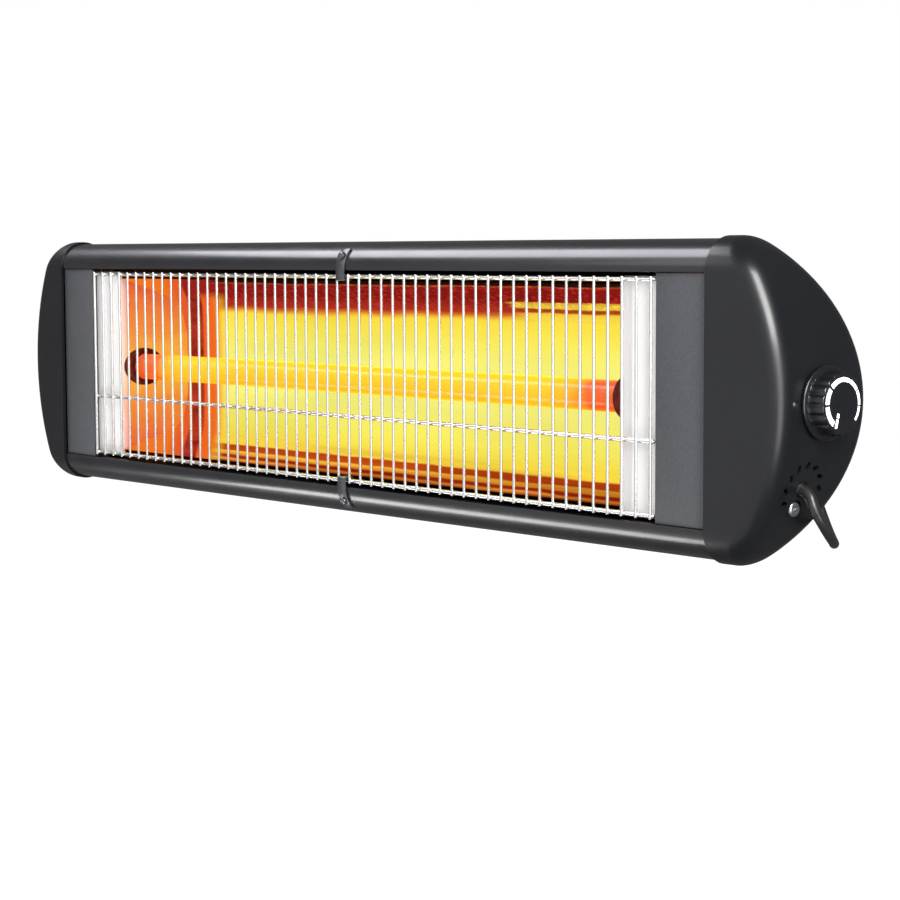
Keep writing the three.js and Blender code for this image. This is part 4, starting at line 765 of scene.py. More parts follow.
def quartz_finish():
    """The frosted tube: amber where the winding glows, with a painted red glow at its cold ends,
    painted shade low and a painted highlight high.
    """
    finish = Finish(
        "glowing quartz", specular_ior_level=0.3, ior=1.46, base_color=(0.06, 0.02, 0.004),
        emission_strength=0.96,
    )
    spot = finish.parts(finish.place())
    across = finish.math("ABSOLUTE", spot["X"], 0.0)
    reach = finish.math("ADD", across, finish.waver(-2 * MM, 2 * MM, 9 * MM, 2, (0.4, 1, 1)))
    glow = finish.bands(finish.between(reach, 0.0, 1.0, *TUBE_COLD_ENDS), TUBE_BANDS)
    rise = finish.between(spot["Z"], 0.0, 1.0, TUBE_Z - 9 * MM, TUBE_Z + 9 * MM)
    finish.glows(finish.times(glow, finish.ramp(rise, TUBE_PAINTED_SHADE)))
    finish.feed("Roughness", finish.waver(0.16, 0.26, 5 * MM, 3))
    return finish


DRAWN_FINISHES = {
    "chrome": chrome_finish,
    "plate_grey": plate_grey_finish,
    "heating_wire": heating_wire_finish,
    "wire_sleeve": wire_sleeve_finish,
    # strip, reflector and quartz paint the tube's light as emission.
    "strip": strip_finish,
    "reflector": reflector_finish,
    "quartz": quartz_finish,
}
MATERIALS = {}


def finish_of(name):
    """A finish's material, made once."""
    if name not in MATERIALS:
        plain = name in PLAIN_FINISHES
        finish = plain_finish(*PLAIN_FINISHES[name]) if plain else DRAWN_FINISHES[name]()
        MATERIALS[name] = finish.material
    return MATERIALS[name]


# ---- The housing's section ----------------------------------------------------------------------
class Section:
    """The D-shaped outline of the housing in the YZ plane, drawn in by an inset."""

    def __init__(self):
        sizes = bpy.context.scene.heater_housing
        self.sizes = sizes
        self.front_y = CAP_LOW.y
        self.back_y = CAP_HIGH.y
        self.shoulder_z = HALF_HEIGHT - sizes.shoulder_radius
        self.shoulder_y = self.front_y + sizes.corner_radius
        self.corner_z = HALF_HEIGHT - sizes.corner_radius
        span = self.back_y - self.shoulder_y
        rest = span**2 + self.shoulder_z**2 - sizes.shoulder_radius**2
        self.back_radius = rest / (2 * (span - sizes.shoulder_radius))
        self.back_centre = self.back_y - self.back_radius

    def front(self, z, inset):
        rise = abs(z) - self.corner_z
        if rise <= 0:
            return self.front_y + inset
        radius = self.sizes.corner_radius - inset
        return self.shoulder_y - math.sqrt(max(0.0, radius**2 - rise**2))

    def back(self, z, inset):
        arc_radius = self.back_radius - inset
        turn = arc_radius * self.shoulder_z / (self.back_radius - self.sizes.shoulder_radius)
        if abs(z) <= turn:
            return self.back_centre + math.sqrt(arc_radius**2 - z**2)
        rise = abs(z) - self.shoulder_z
        radius = self.sizes.shoulder_radius - inset
        return self.shoulder_y + math.sqrt(max(0.0, radius**2 - rise**2))

    def ring(self, inset_at):
        """Points up the front and down the back, each with whether it is in front, and its step."""
        points = []
        for i in range(2 * CAP_HALF):
            is_front = i <= CAP_HALF
            step = (i if is_front else 2 * CAP_HALF - i) / CAP_HALF
            inset = inset_at(is_front, step)
            z = (HALF_HEIGHT - inset) * math.sin(math.pi * (step - 0.5))
            y = self.front(z, inset) if is_front else self.back(z, inset)
            points.append((y, z, is_front, step))
        return points


# ---- End caps -----------------------------------------------------------------------------------
CAP_HALF = 56  # steps up the front of a cap's rings
CAP_SWEEPS = 10  # rings round the crease
SCREW_Y, SCREW_Z = deep(29.4), -61.5 * MM
SCREW_SEAT = 1.55 * MM  # the screw's seat below the end face
SCREW_POST, SCREW_WELL, SCREW_HOLE = 9.2 * MM, 10.6 * MM, 4.4 * MM  # diameters
SHAFT_HOLE = 9.6 * MM
GLAND_HOLE_RADIUS = 4.8 * MM
VENT_Y, VENT_Z = deep(31.8), -50.3 * MM
VENT_COUNT, VENT_RING, VENT_STEP = 9, 14.6 * MM, math.radians(30)
VENT_LONG, VENT_WIDE = 5 * MM, 2.6 * MM
GLAND_Y, GLAND_Z = deep(31), -50 * MM
DOT_Y, DOT_Z = deep(14.1), 0.6 * MM  # the knob's index mark on the cap


def end_of(side):
    return "right" if side > 0 else "left"


def end_arc():
    """Radius of the arc that the caps' end faces follow from top to bottom."""
    taper = (END_X - SEAM) - bpy.context.scene.heater_housing.top_width
    return (HALF_HEIGHT**2 + taper**2) / (2 * taper)


def end_width(z):
    """Seam to end face at a height."""
    radius = end_arc()
    return END_X - SEAM - (radius - math.sqrt(radius**2 - z * z))


def gland_exit():
    """Where the cord's middle leaves the end face, and the direction square to the face."""
    slope = GLAND_Z / math.sqrt(end_arc() ** 2 - GLAND_Z**2)
    return Vector((SEAM + end_width(GLAND_Z), GLAND_Y, GLAND_Z)), Vector((1, 0, slope)).normalized()


def cap_rings(section, offset):
    """Rings of a cap's skin: one at the seam, then round the crease to the end face."""
    sizes = section.sizes
    middle = (sizes.crease_radius + sizes.back_round) / 2
    depth = section.back_y - section.front_y

    def rounding(is_front, step):
        share = 1 - (2 * step - 1) ** 4
        goal = sizes.crease_radius if is_front else sizes.back_round
        return middle + (goal - middle) * share - offset

    def ring(turn, at_seam=False):
        def inset(is_front, step):
            return offset + rounding(is_front, step) * (1 - math.cos(turn))

        points = []
        for y, z, is_front, step in section.ring(inset):
            out = end_width(z) - offset - rounding(is_front, step) * (1 - math.sin(turn))
            out = 0.0 if at_seam else out
            lean = sizes.lean * out * (section.back_y - y) / ((END_X - SEAM) * depth)
            points.append((SEAM + out, y + lean, z))
        return points

    turns = [math.pi / 2 * k / CAP_SWEEPS for k in range(CAP_SWEEPS + 1)]
    return [ring(0, at_seam=True)] + [ring(turn) for turn in turns]


def cap_skin(rings, inward):
    """The faces of one skin: round its sides, and strips over its end face."""
    points, faces = loft(rings, caps=False)
    base, count_round = len(points) - 2 * CAP_HALF, 2 * CAP_HALF
    if inward:
        faces = [face[::-1] for face in faces]
    for i in range(CAP_HALF):
        corners = [i, i + 1, count_round - i - 1, (count_round - i) % count_round]
        strip = [base + k for k in dict.fromkeys(corners)]
        faces.append(tuple(strip if inward else strip[::-1]))
    return points, faces


def slot_body(y, z, tilt):
    """A cutter for one vent slot with rounded ends."""
    outline = []
    for k in range(16):
        turn = 2 * math.pi * (k + 0.5) / 16
        end = (VENT_LONG - VENT_WIDE) / 2 * (1 if math.sin(turn) > 0 else -1)
        a, b = math.cos(turn) * VENT_WIDE / 2, math.sin(turn) * VENT_WIDE / 2 + end
        along = y + a * math.cos(tilt) + b * math.sin(tilt)
        outline.append((along, z - a * math.sin(tilt) + b * math.cos(tilt)))
    return prism_x(outline, END_X - 30 * MM, END_X + 5 * MM)


def end_cap(side):
    """A moulded cap, built for the right end and mirrored for the left."""
    section = Section()
    wall = section.sizes.cap_wall
    outer = cap_skin(cap_rings(section, 0.0), False)
    inner = cap_skin(cap_rings(section, wall), True)
    vertices, faces = merge(outer, inner)
    start, size = len(outer[0]), 2 * CAP_HALF
    for i in range(size):
        j = (i + 1) % size
        faces.append((start + i, i, j, start + j))
    piece = make_piece(f"{end_of(side)}_cap_shell", vertices, faces)
    screw_x = SEAM + end_width(SCREW_Z)
    post = rod_x(SCREW_Y, SCREW_Z, SCREW_POST, SEAM - 1.7 * MM, screw_x - wall / 2)
    carve(piece, [post], "UNION")
    tools = [
        rod_x(SCREW_Y, SCREW_Z, SCREW_WELL, screw_x - SCREW_SEAT, END_X + 2 * MM),
        rod_x(SCREW_Y, SCREW_Z, SCREW_HOLE, SEAM - 5 * MM, END_X),
    ]
    if side > 0:
        tools.append(rod_x(KNOB_Y, 0, SHAFT_HOLE, SEAM + 20 * MM, END_X + 9 * MM))
        exit_at, axis = gland_exit()
        ends = [exit_at - axis * 9 * MM, exit_at + axis * 9 * MM]
        tools.append(sweep(ends, GLAND_HOLE_RADIUS, 40))
        for k in range(VENT_COUNT):
            angle = (k - VENT_COUNT // 2) * VENT_STEP
            y, z = VENT_Y + VENT_RING * math.sin(angle), VENT_Z + VENT_RING * math.cos(angle)
            tools.append(slot_body(y, z, angle + math.pi / 4))
    carve(piece, tools)
    if side < 0:
        mirror(piece, (1, 0, 0))
    return settle_in(piece, "moulded_black", f"{end_of(side)}_end_cap", angle=28)


class HEATER_OT_end_caps(bpy.types.Operator):
    """Builds both moulded caps, with the right one's vents, holes and index mark"""

    bl_idname = "heater.end_caps"
    bl_label = "End Caps"

    def execute(self, context):
        end_cap(1)
        end_cap(-1)
        profile = in_mm([(0, -0.3), (1.1, -0.3), (1.1, 0.05), (0.9, 0.12), (0, 0.12)])
        spot = (SEAM + end_width(DOT_Z), DOT_Y, DOT_Z)
        dot = make_piece("knob_index_mark", *turned(profile, spot, (1, 0, 0), 24))
        dot.data.materials.append(finish_of("print_grey"))
        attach(dot, "heater")
        return {"FINISHED"}


# ---- Casing, rails and side plates --------------------------------------------------------------
def rail(side):
    """The folded rail above or below the window: front curve, lip at the window, tongue behind."""
    section = Section()
    sizes = section.sizes
    outer = sizes.corner_radius - sizes.proud
    inner = outer - sizes.rail_wall
    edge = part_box("top_rail")[0].z
    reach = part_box("top_rail")[1].x
    y, z, high = section.shoulder_y, section.corner_z, section.shoulder_z
    lip_y = section.front_y + sizes.proud + sizes.rail_lip
    low = math.degrees(math.asin((edge + 0.5 * MM - z) / outer))
    rise = math.degrees(math.asin((edge + sizes.sheet + 1 * MM - z) / inner))
    tuck = sizes.shoulder_radius - sizes.proud - sizes.sheet - CLEAR
    outline = arc(y, z, outer, 90, 180 - low, 30)
    outline += [
        (y - outer + 0.15 * MM, edge + 0.15 * MM), (y - outer + 0.5 * MM, edge),
        (lip_y - 0.4 * MM, edge), (lip_y, edge + 0.4 * MM), (lip_y, edge + sizes.sheet),
        (y - inner + 1.2 * MM, edge + sizes.sheet),
    ]
    outline += arc(y, z, inner, 180 - rise, 96, 22)
    outline += [(y - 2 * MM, z + inner - 0.1 * MM), (y - 2 * MM, high + tuck - sizes.sheet)]
    outline += arc(y, high, tuck - sizes.sheet, 90, 58, 8)
    outline += arc(y, high, tuck, 58, 90, 8)
    name, node = ("upper_rail", "top_rail") if side > 0 else ("lower_rail", "bottom_rail")
    piece = make_piece(name, *prism_x([(p[0], p[1] * side) for p in outline], -reach, reach))
    return settle_in(piece, "satin_black", node, angle=34)


def casing_outline(section):
    """The casing's sheet from shoulder to shoulder round the back."""
    sizes = section.sizes
    y, z = section.shoulder_y, section.shoulder_z
    turn = math.degrees(math.asin(z / (section.back_radius - sizes.shoulder_radius)))
    lines = []
    for inset in (sizes.proud, sizes.proud + sizes.sheet):
        small, big = sizes.shoulder_radius - inset, section.back_radius - inset
        line = [(y + CLEAR, z + small)]
        line += arc(y, z, small, 88.5, turn, 16)
        line += arc(section.back_centre, 0, big, turn, -turn, 60)[1:]
        line += arc(y, -z, small, -turn, -88.5, 16)[1:]
        lines.append(line + [(y + CLEAR, -z - small)])
    return lines[0] + lines[1][::-1]


class HEATER_OT_housing(bpy.types.Operator):
    """Builds the rear casing, the two rails and the grey plates beside the window"""

    bl_idname = "heater.housing"
    bl_label = "Housing"

    def execute(self, context):
        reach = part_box("rear_casing")[1].x
        shell = make_piece("back_shell", *prism_x(casing_outline(Section()), -reach, reach))
        settle_in(shell, "satin_black", "rear_casing")
        rail(1)
        rail(-1)
        for end in ("right", "left"):
            dressed_copy(f"{end}_side_plate", f"{end}_grey_plate", "plate_grey", 0.45 * MM, 3)
        return {"FINISHED"}


# ---- Reflector and heating tube -----------------------------------------------------------------
MIRROR_SHEET = 0.9 * MM
MIRROR_LEAN = 22.5 / 48.4  # how fast the trough's end walls close in with depth
FOLD_RADIUS = 1.6 * MM
GRID_STEP, GRID_COLUMNS = 5 * MM, 80  # the trough's mesh
STRIP_LINE = [(309.3, 4.3), (297, 5.4), (286, 4.8), (276.5, 6), (254, 54.4)]  # X and depth, in mm
STRIP_HALF = 72.7 * MM  # half height of the strips beside the window
STRIP_CUT = (200 * MM, 330 * MM)  # past a strip's inner and outer side
TUBE_HOLE = 29.6 * MM
CUP_TIP = 266 * MM
CUP_PROFILE = [
    (0, 13), (10.3, 13), (10.3, 0.8), (11, 0), (13.7, 0), (14.5, 0.9), (14.5, 20), (14.1, 20.4),
    (14.1, 22.4), (14.5, 22.8), (14.5, 26.4), (13.9, 27), (2.3, 27), (2.3, 13.2), (0, 13.2),
]
GLASS_OUTER, GLASS_INNER, GLASS_BEVEL = 10 * MM, 8.5 * MM, 0.4 * MM
COIL_PITCH, COIL_RADIUS, COIL_WIRE, COIL_STEPS = 3.2 * MM, 4.0 * MM, 0.45 * MM, 10


def trough_line():
    upper = [(deep(d), z * MM) for d, z in MIRROR_LINE]
    return round_line(upper + [(y, -z) for y, z in upper[::-1]], FOLD_RADIUS, 4)


def trough():
    """The folded trough, as a grid over its sheet, with UVs that run over the flat sheet."""
    line = trough_line()
    total = sum((b - a).length for a, b in zip(line, line[1:]))
    rows, travelled = [], 0.0  # each row's point on the line, and its share of the way
    for a, b in zip(line, line[1:]):
        run = (b - a).length
        pieces = max(1, round(run / GRID_STEP))
        for k in range(pieces):
            rows.append((a.lerp(b, k / pieces), (travelled + run * k / pieces) / total))
        travelled += run
    rows.append((line[-1], 1.0))
    vertices, shares = [], []
    for point, share in rows:
        reach = (MIRROR_MOUTH - 0.5) * MM - (point.x - deep(6)) * MIRROR_LEAN
        for k in range(GRID_COLUMNS + 1):
            x = reach * (2 * k / GRID_COLUMNS - 1)
            vertices.append((x, point.x, point.y))
            shares.append((x / (2 * MIRROR_MOUTH * MM) + 0.5, share))
    wide = GRID_COLUMNS + 1
    starts = [row * wide + k for row in range(len(rows) - 1) for k in range(GRID_COLUMNS)]
    mesh = bpy.data.meshes.new("folded_trough")
    mesh.from_pydata(vertices, [], [(a, a + 1, a + wide + 1, a + wide) for a in starts])
    sheet = mesh.uv_layers.new(name="sheet")
    for loop in mesh.loops:
        sheet.data[loop.index].uv = shares[loop.vertex_index]
    piece = link("folded_trough", mesh)
    thickness = piece.modifiers.new("sheet", "SOLIDIFY")
    thickness.thickness = MIRROR_SHEET
    thickness.offset = -1 if mesh.polygons[len(mesh.polygons) // 2].normal.y < 0 else 1
    settle(piece)
    # Its finish paints the tube's light on the sheet as emission.
    return settle_in(piece, "reflector", "reflector_trough", angle=50)


def reflector_end(side):
    """A folded strip beside the window and the slanted wall that closes the trough."""
    line = round_line([(x * MM, deep(d)) for x, d in STRIP_LINE], 1.4 * MM, 4)
    sheet = thicken(line, -MIRROR_SHEET)
    rings = [[(p.x, p.y, z) for p in sheet] for z in (-STRIP_HALF, STRIP_HALF)]
    piece = make_piece(f"{end_of(side)}_folded_end", *loft(rings))
    around = thicken(trough_line(), MIRROR_SHEET + 0.4 * MM)
    back = around[len(around) // 2 :]  # the trough's outer side, which the wall is cut to
    if back[0].y > back[-1].y:
        back = back[::-1]
    before, front, past = deep(-5), deep(7), STRIP_HALF + MM
    outline = [(before, -past), (front, -past), (front, back[0].y)]
    outline += [(p.x, p.y) for p in back]
    outline += [(front, back[-1].y), (front, past), (before, past)]
    carve(piece, [prism_x(outline, *STRIP_CUT)], "INTERSECT")
    carve(piece, [rod_x(TUBE_Y, TUBE_Z, TUBE_HOLE, *STRIP_CUT, 64)])
    if side < 0:
        mirror(piece, (1, 0, 0))
    # Its finish paints the tube's light on the slanted wall.
    return settle_in(piece, "strip", f"{end_of(side)}_reflector_end", angle=24)


def tube_holder(side):
    cup = turned(in_mm(CUP_PROFILE), (CUP_TIP * side, TUBE_Y, TUBE_Z), (side, 0, 0), 64)
    piece = make_piece(f"{end_of(side)}_ceramic_cup", *cup)
    # Its finish has the tube's red glow painted into its colour.
    return settle_in(piece, "ceramic", f"{end_of(side)}_tube_holder", angle=40)


def glass_tube():
    reach = TUBE_HIGH.x
    full = reach - GLASS_BEVEL
    spots = [-full + 2 * full * k / 24 for k in range(25)]
    outer, inner = GLASS_OUTER - GLASS_BEVEL, GLASS_INNER + GLASS_BEVEL
    profile = [(GLASS_OUTER, x) for x in spots] + [(outer, reach), (inner, reach)]
    profile += [(GLASS_INNER, -x) for x in spots] + [(inner, -reach), (outer, -reach)]
    turns = [2 * math.pi * k / 56 for k in range(56)]
    rings = [[(x, *polar(TUBE_Y, TUBE_Z, radius, t)) for t in turns] for radius, x in profile]
    piece = make_piece("frosted_tube", *loft(rings, wrap=True))
    # Its finish paints shade, a highlight and the red cold ends on the tube's glow.
    return settle_in(piece, "quartz", "quartz_tube", angle=50)


def winding():
    """The wound heating wire inside the tube."""
    start = -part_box("heating_coil")[1].x + 2 * MM
    points = []
    for k in range(int(-2 * start / COIL_PITCH * COIL_STEPS) + 1):
        angle = 2 * math.pi * k / COIL_STEPS
        x = start + COIL_PITCH * k / COIL_STEPS
        points.append((x, *polar(TUBE_Y, TUBE_Z, COIL_RADIUS, angle)))
    piece = make_piece("wound_wire", *sweep(points, COIL_WIRE, 5))
    return settle_in(piece, "heating_wire", "heating_coil", angle=80)


class HEATER_OT_reflector(bpy.types.Operator):
    """Builds the folded reflector, its two ends, the glowing tube and its holders"""

    bl_idname = "heater.reflector"
    bl_label = "Reflector and Tube"

    def execute(self, context):
        trough()
        for side in (1, -1):
            reflector_end(side)
            tube_holder(side)
        glass_tube()
        winding()
        return {"FINISHED"}


# ---- Guard --------------------------------------------------------------------------------------
LOW_ROD_Z = -26 * MM
ROD_INSET = 2 * MM  # the outer rods' middles below the wires' tips
CLIP_X = 12 * MM
CLIP_SHEET = 1.1 * MM
CLIP_LIFT = math.radians(29)  # where its screw sits round the rail's curve
CLIP_SCREW = (6 * MM, 2 * MM, 3 * MM, 9 * MM)  # head, its height, shank, reach


def rod_depth(sizes):
    """The world's Y of the cross rods' middles, which bite a little into the wires."""
    return GUARD_Y + (sizes.wire + sizes.rod) / 2 - CLEAR


def weld_bead(x, y, z, radius):
    """The small spread of metal where a wire is welded to a rod."""
    profile = []
    for k in range(7):
        angle = math.pi * (k / 6 - 0.5)
        wide = radius * math.cos(angle) if 0 < k < 6 else 0
        profile.append((wide, radius * 0.55 * math.sin(angle)))
    return turned(profile, (x, y, z), (0, 1, 0), 12)


def wire_guard():
    sizes = bpy.context.scene.heater_guard
    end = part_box("wire_guard")[1]
    wire_tip, rod_tip = end.z - sizes.wire / 2, end.x - sizes.rod / 2
    rod_y, rod_top = rod_depth(sizes), end.z - ROD_INSET
    places = [(k - (sizes.wires - 1) / 2) * sizes.pitch for k in range(sizes.wires)]
    parts = []
    for x in places:
        points = [(x, GUARD_Y, -wire_tip), (x, GUARD_Y, wire_tip)]
        parts.append(sweep(points, sizes.wire / 2, 12, domed=True))
    for z in (rod_top, LOW_ROD_Z, -rod_top):
        points = [(-rod_tip, rod_y, z), (rod_tip, rod_y, z)]
        parts.append(sweep(points, sizes.rod / 2, 16, domed=True))
        for x in places:
            parts.append(weld_bead(x, GUARD_Y + sizes.wire * 0.42, z, sizes.wire * 0.78))
    piece = make_piece("welded_guard", *merge(*parts))
    return settle_in(piece, "chrome", "wire_guard", angle=60)


def clip_seat(lift):
    """The point on the clip under its screw, and the direction that the screw is driven in."""
    section = Section()
    sizes = section.sizes
    radius = sizes.corner_radius - sizes.proud + CLEAR + CLIP_SHEET + lift
    y = section.shoulder_y - radius * math.cos(CLIP_LIFT)
    z = section.corner_z + radius * math.sin(CLIP_LIFT)
    return Vector((CLIP_X, y, z)), Vector((0, math.cos(CLIP_LIFT), -math.sin(CLIP_LIFT)))


def guard_clip(side):
    """A bent strip over a rail's curve, hooked under the guard's outer rod."""
    section = Section()
    guard = bpy.context.scene.heater_guard
    radius = section.sizes.corner_radius - section.sizes.proud + CLEAR + CLIP_SHEET
    reach = guard.rod / 2 + CLEAR
    rod_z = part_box("wire_guard")[1].z - ROD_INSET
    top, foot = rod_z + 1 * MM, rod_z - reach - CLIP_SHEET
    face, back = section.shoulder_y - radius, rod_depth(guard) + reach + CLIP_SHEET
    line = arc(section.shoulder_y, section.corner_z, radius, 133, 176, 16)
    hook = [line[-1], (face, top), (face, foot), (back, foot), (back, top)]
    line = [Vector(p) for p in line] + round_line(hook, 1.1 * MM, 4)[1:]
    half = guard.clip_width / 2
    name = "upper_clip" if side > 0 else "lower_clip"
    node = "top_guard_clip" if side > 0 else "bottom_guard_clip"
    piece = make_piece(name, *prism_x(thicken(line, CLIP_SHEET), CLIP_X - half, CLIP_X + half))
    soften(piece, 0.25 * MM)
    if side < 0:
        mirror(piece, (0, 0, 1))
    return settle_in(piece, "clip_steel", node, angle=34)


def cross_screw(name, node, finish, seat, inward, sizes):
    """A pan-head screw with a cross recess and a few turns of thread at its tip."""
    head, height, shank, reach = sizes
    outward, radius, thread = -inward, shank / 2, 1.2 * MM
    start = -reach + shank * 0.5
    profile = [(0, -reach), (shank * 0.2, -reach), (radius, start)]
    for k in range(int(reach * 0.55 / thread)):
        profile.append((radius - 0.25 * MM, start + (k + 0.5) * thread))
        profile.append((radius, start + (k + 1) * thread))
    profile += [(radius, 0), (head / 2 - 0.2 * MM, 0), (head / 2, 0.25 * MM)]
    for k in range(1, 9):
        angle = math.pi / 2 * k / 8
        rise = height * 0.45 + height * 0.55 * math.sin(angle)
        profile.append((head / 2 * (0.28 + 0.72 * math.cos(angle)), rise))
    profile.append((0, height))
    piece = make_piece(name, *turned(profile, seat, outward, 32))
    side = Vector((0, 1, 0)) if abs(inward.x) > 0.9 else Vector((1, 0, 0))
    other = inward.cross(side).normalized()
    deepest, above = seat + outward * height * 0.4, seat + outward * height * 1.5
    tools = []
    for along, across in ((side, other), (other, side)):
        corners = []
        for a, b in ((-1, -1), (1, -1), (1, 1), (-1, 1)):
            corners.append(along * a * head * 0.27 + across * b * head * 0.062)
        foot, mouth = ([z + c * f for c in corners] for z, f in ((deepest, 0.72), (above, 1.1)))
        tools.append(loft([foot, mouth]))
    carve(piece, tools)
    return settle_in(piece, finish, node, angle=36)


class HEATER_OT_guard(bpy.types.Operator):
    """Builds the welded wire guard, its two clips and their screws"""

    bl_idname = "heater.guard"
    bl_label = "Guard"

    def execute(self, context):
        wire_guard()
        seat, inward = clip_seat(CLEAR)
        guard_clip(1)
        guard_clip(-1)
        for name, node, side in (("upper", "top", 1), ("lower", "bottom", -1)):
            flip = Vector((1, 1, side))
            name, node = f"{name}_clip_screw", f"{node}_clip_screw"
            cross_screw(name, node, "clip_steel", seat * flip, inward * flip, CLIP_SCREW)
        return {"FINISHED"}


# ---- Knob ---------------------------------------------------------------------------------------
# The ring scale: start and end of each printed segment, in degrees from +Y towards +Z.
SCALE_SEGMENTS = [(-41, -7), (-4, 30), (33, 65), (68, 98.5), (101.5, 134), (141, 179), (185, 234)]
SCALE_THIN, SCALE_THICK = 1.5 * MM, 3.3 * MM
SCALE_STEPS = 14  # along each segment
POINTER = [(0.43, 234), (0.97, 246)]  # share of the scale's radius, and degrees
POINTER_WIDTH, POINTER_GAP = 2.0 * MM, 0.35 * MM
FACE_SINK = 0.25 * MM  # the dial's face below the knob's rim


def knob_body():
    sizes = bpy.context.scene.heater_knob
    height = KNOB_HIGH.x - KNOB_LOW.x
    flange = (KNOB_HIGH.y - KNOB_LOW.y) / 2
    steps = sizes.flutes * 12
    bore, face = 3.3 * MM, 17.8 * MM
    profile = [(height - 1.9 * MM, 0, 0), (height - 1.9 * MM, bore, 0)]
    lower = [  # height, radius, share of the flutes
        (3.3, 3.3, 0), (3.3, 8.5, 0), (0, 8.5, 0), (0, flange / MM - 0.4, 0), (0.3, flange / MM, 0),
        (1.5, flange / MM, 0), (2.1, flange / MM - 0.7, 0), (2.2, 20.1, 0), (2.3, 19.5, 0.3),
        (2.6, 19.2, 1), (4.5, 18.95, 1), (7, 18.65, 1),
    ]
    profile += [(h * MM, r * MM, share) for h, r, share in lower]
    upper = [  # below the rim, wider than the face, share of the flutes
        (1.2, 0.45, 1), (0.55, 0.2, 0.9), (0.15, -0.3, 0.5), (0, -0.9, 0.15), (0, -1.5, 0),
        (0.25, -1.8, 0),
    ]
    profile += [(height - h * MM, face + r * MM, share) for h, r, share in upper]
    profile += [(height - FACE_SINK, 6 * MM, 0), (height - FACE_SINK, 0, 0)]
    rings = []
    for h, r, share in profile:
        ring = []
        for k in range(steps):
            angle = 2 * math.pi * k / steps
            wave = 0.5 + 0.5 * math.cos(sizes.flutes * angle)
            radius = max(1e-9, r - share * sizes.flute_depth * wave**2)
            ring.append((KNOB_LOW.x + h, *polar(KNOB_Y, 0, radius, angle)))
        rings.append(ring)
    piece = make_piece("fluted_knob", *loft(rings, caps=False))
    return settle_in(piece, "knob_black", "knob", angle=40)


def ring_scale():
    """The white ring scale, thicker towards its hot end, and the pointer line."""
    sizes = bpy.context.scene.heater_knob
    radius = sizes.scale_radius
    face = KNOB_HIGH.x - FACE_SINK
    first, last = SCALE_SEGMENTS[0][0], SCALE_SEGMENTS[-1][1]
    shapes = []
    for start, end in SCALE_SEGMENTS:
        outer, inner = [], []
        for k in range(SCALE_STEPS + 1):
            angle = start + (end - start) * k / SCALE_STEPS
            share = (angle - first) / (last - first)
            wide = SCALE_THIN + (SCALE_THICK - SCALE_THIN) * min(1, share * 1.3)
            outer.append(polar(0, 0, radius, math.radians(angle)))
            inner.append(polar(0, 0, radius - wide, math.radians(angle)))
        shapes.append(outer + inner[::-1])
    near, far = [Vector(polar(0, 0, share * radius, math.radians(a))) for share, a in POINTER]
    along = (far - near).normalized()
    across = Vector((-along.y, along.x)) * POINTER_WIDTH / 2
    split, gap = near.lerp(far, 0.34), along * POINTER_GAP
    for a, b in ((near, split - gap), (split + gap, far)):
        shapes.append([a + across, a - across, b - across, b + across])
    shapes = [[(KNOB_Y + p[0], p[1]) for p in shape] for shape in shapes]
    low, high = face - 0.1 * MM, face + sizes.print_height
    piece = make_piece("knob_ring_scale", *merge(*(prism_x(shape, low, high) for shape in shapes)))
    piece.data.materials.append(finish_of("print_white"))
    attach(piece, "knob")
    return piece


class HEATER_OT_knob(bpy.types.Operator):
    """Builds the fluted knob with its printed ring scale"""

    bl_idname = "heater.knob"
    bl_label = "Knob"

    def execute(self, context):
        knob_body()
        ring_scale()
        return {"FINISHED"}


# ---- Cord ---------------------------------------------------------------------------------------
GLAND_ROUTE = [  # from the strain relief's exit
    (-0.0056, 0, 0.002), (0.0001, 0, 0), (0.0035, 0, -0.0013), (0.007, -0.0004, -0.0044),
    (0.0091, -0.0008, -0.0086), (0.0102, -0.0002, -0.0114), (0.0109, 0.00085, -0.01355),
]
CORD_ROUTE = [
    (0.4075, -0.116, -0.06387), (0.4086, -0.1142, -0.0672), (0.4092, -0.1108, -0.072),
    (0.4084, -0.1056, -0.0769), (0.4059, -0.0994, -0.0806), (0.4016, -0.093, -0.0829),
    (0.396, -0.0864, -0.0839), (0.3896, -0.0802, -0.0826), (0.3831, -0.0754, -0.0789),
    (0.377, -0.0721, -0.0729), (0.3714, -0.0702, -0.0648), (0.3664, -0.0694, -0.0552),
    (0.3616, -0.0683, -0.0448), (0.3568, -0.0664, -0.0342), (0.3514, -0.0636, -0.023),
    (0.3448, -0.0602, -0.0106), (0.3374, -0.0572, 0), (0.33, -0.0553, 0.0073),
    (0.3236, -0.0547, 0.0119), (0.319, -0.0545, 0.01315), (0.31635, -0.0545, 0.0133),
]
PLUG_ROUTE = [
    (0.3037, -0.0545, 0.0397), (0.297, -0.0543, 0.0401), (0.289, -0.0528, 0.0416),
    (0.28, -0.0496, 0.0444), (0.27, -0.0454, 0.0482), (0.26, -0.0413, 0.0517),
    (0.25, -0.0382, 0.054), (0.242, -0.0368, 0.0549), (0.2363, -0.0365, 0.055),
]
CLOSEST = 0.4 * MM  # least distance between two points of the cord
HANK_RUN = 0.1  # straight length of a run
HANK_HALF = 0.018  # radius of the folds
HANK_WAIST = 0.005  # how far each run is drawn in at the tie
HANK_PITCH = 0.0066
HANK_BOTTOM = 0.0133  # centre line of the lowest layer
HANK_STEPS = 14  # steps of a run or a fold
RELIEF_FOOT = [(-5.4, 6.0), (-2.95, 6.0), (-2.85, 4.5), (-0.4, 4.5), (0.2, 4.0)]  # neck and flange
RELIEF_RADIUS, RELIEF_TAPER = 3.95 * MM, 0.7 * MM
PIN_REACH, PIN_HOLE = 9.5 * MM, 5.4 * MM  # the pins from the plug's middle, and their seats
TIE_SHEET = 1.2 * MM


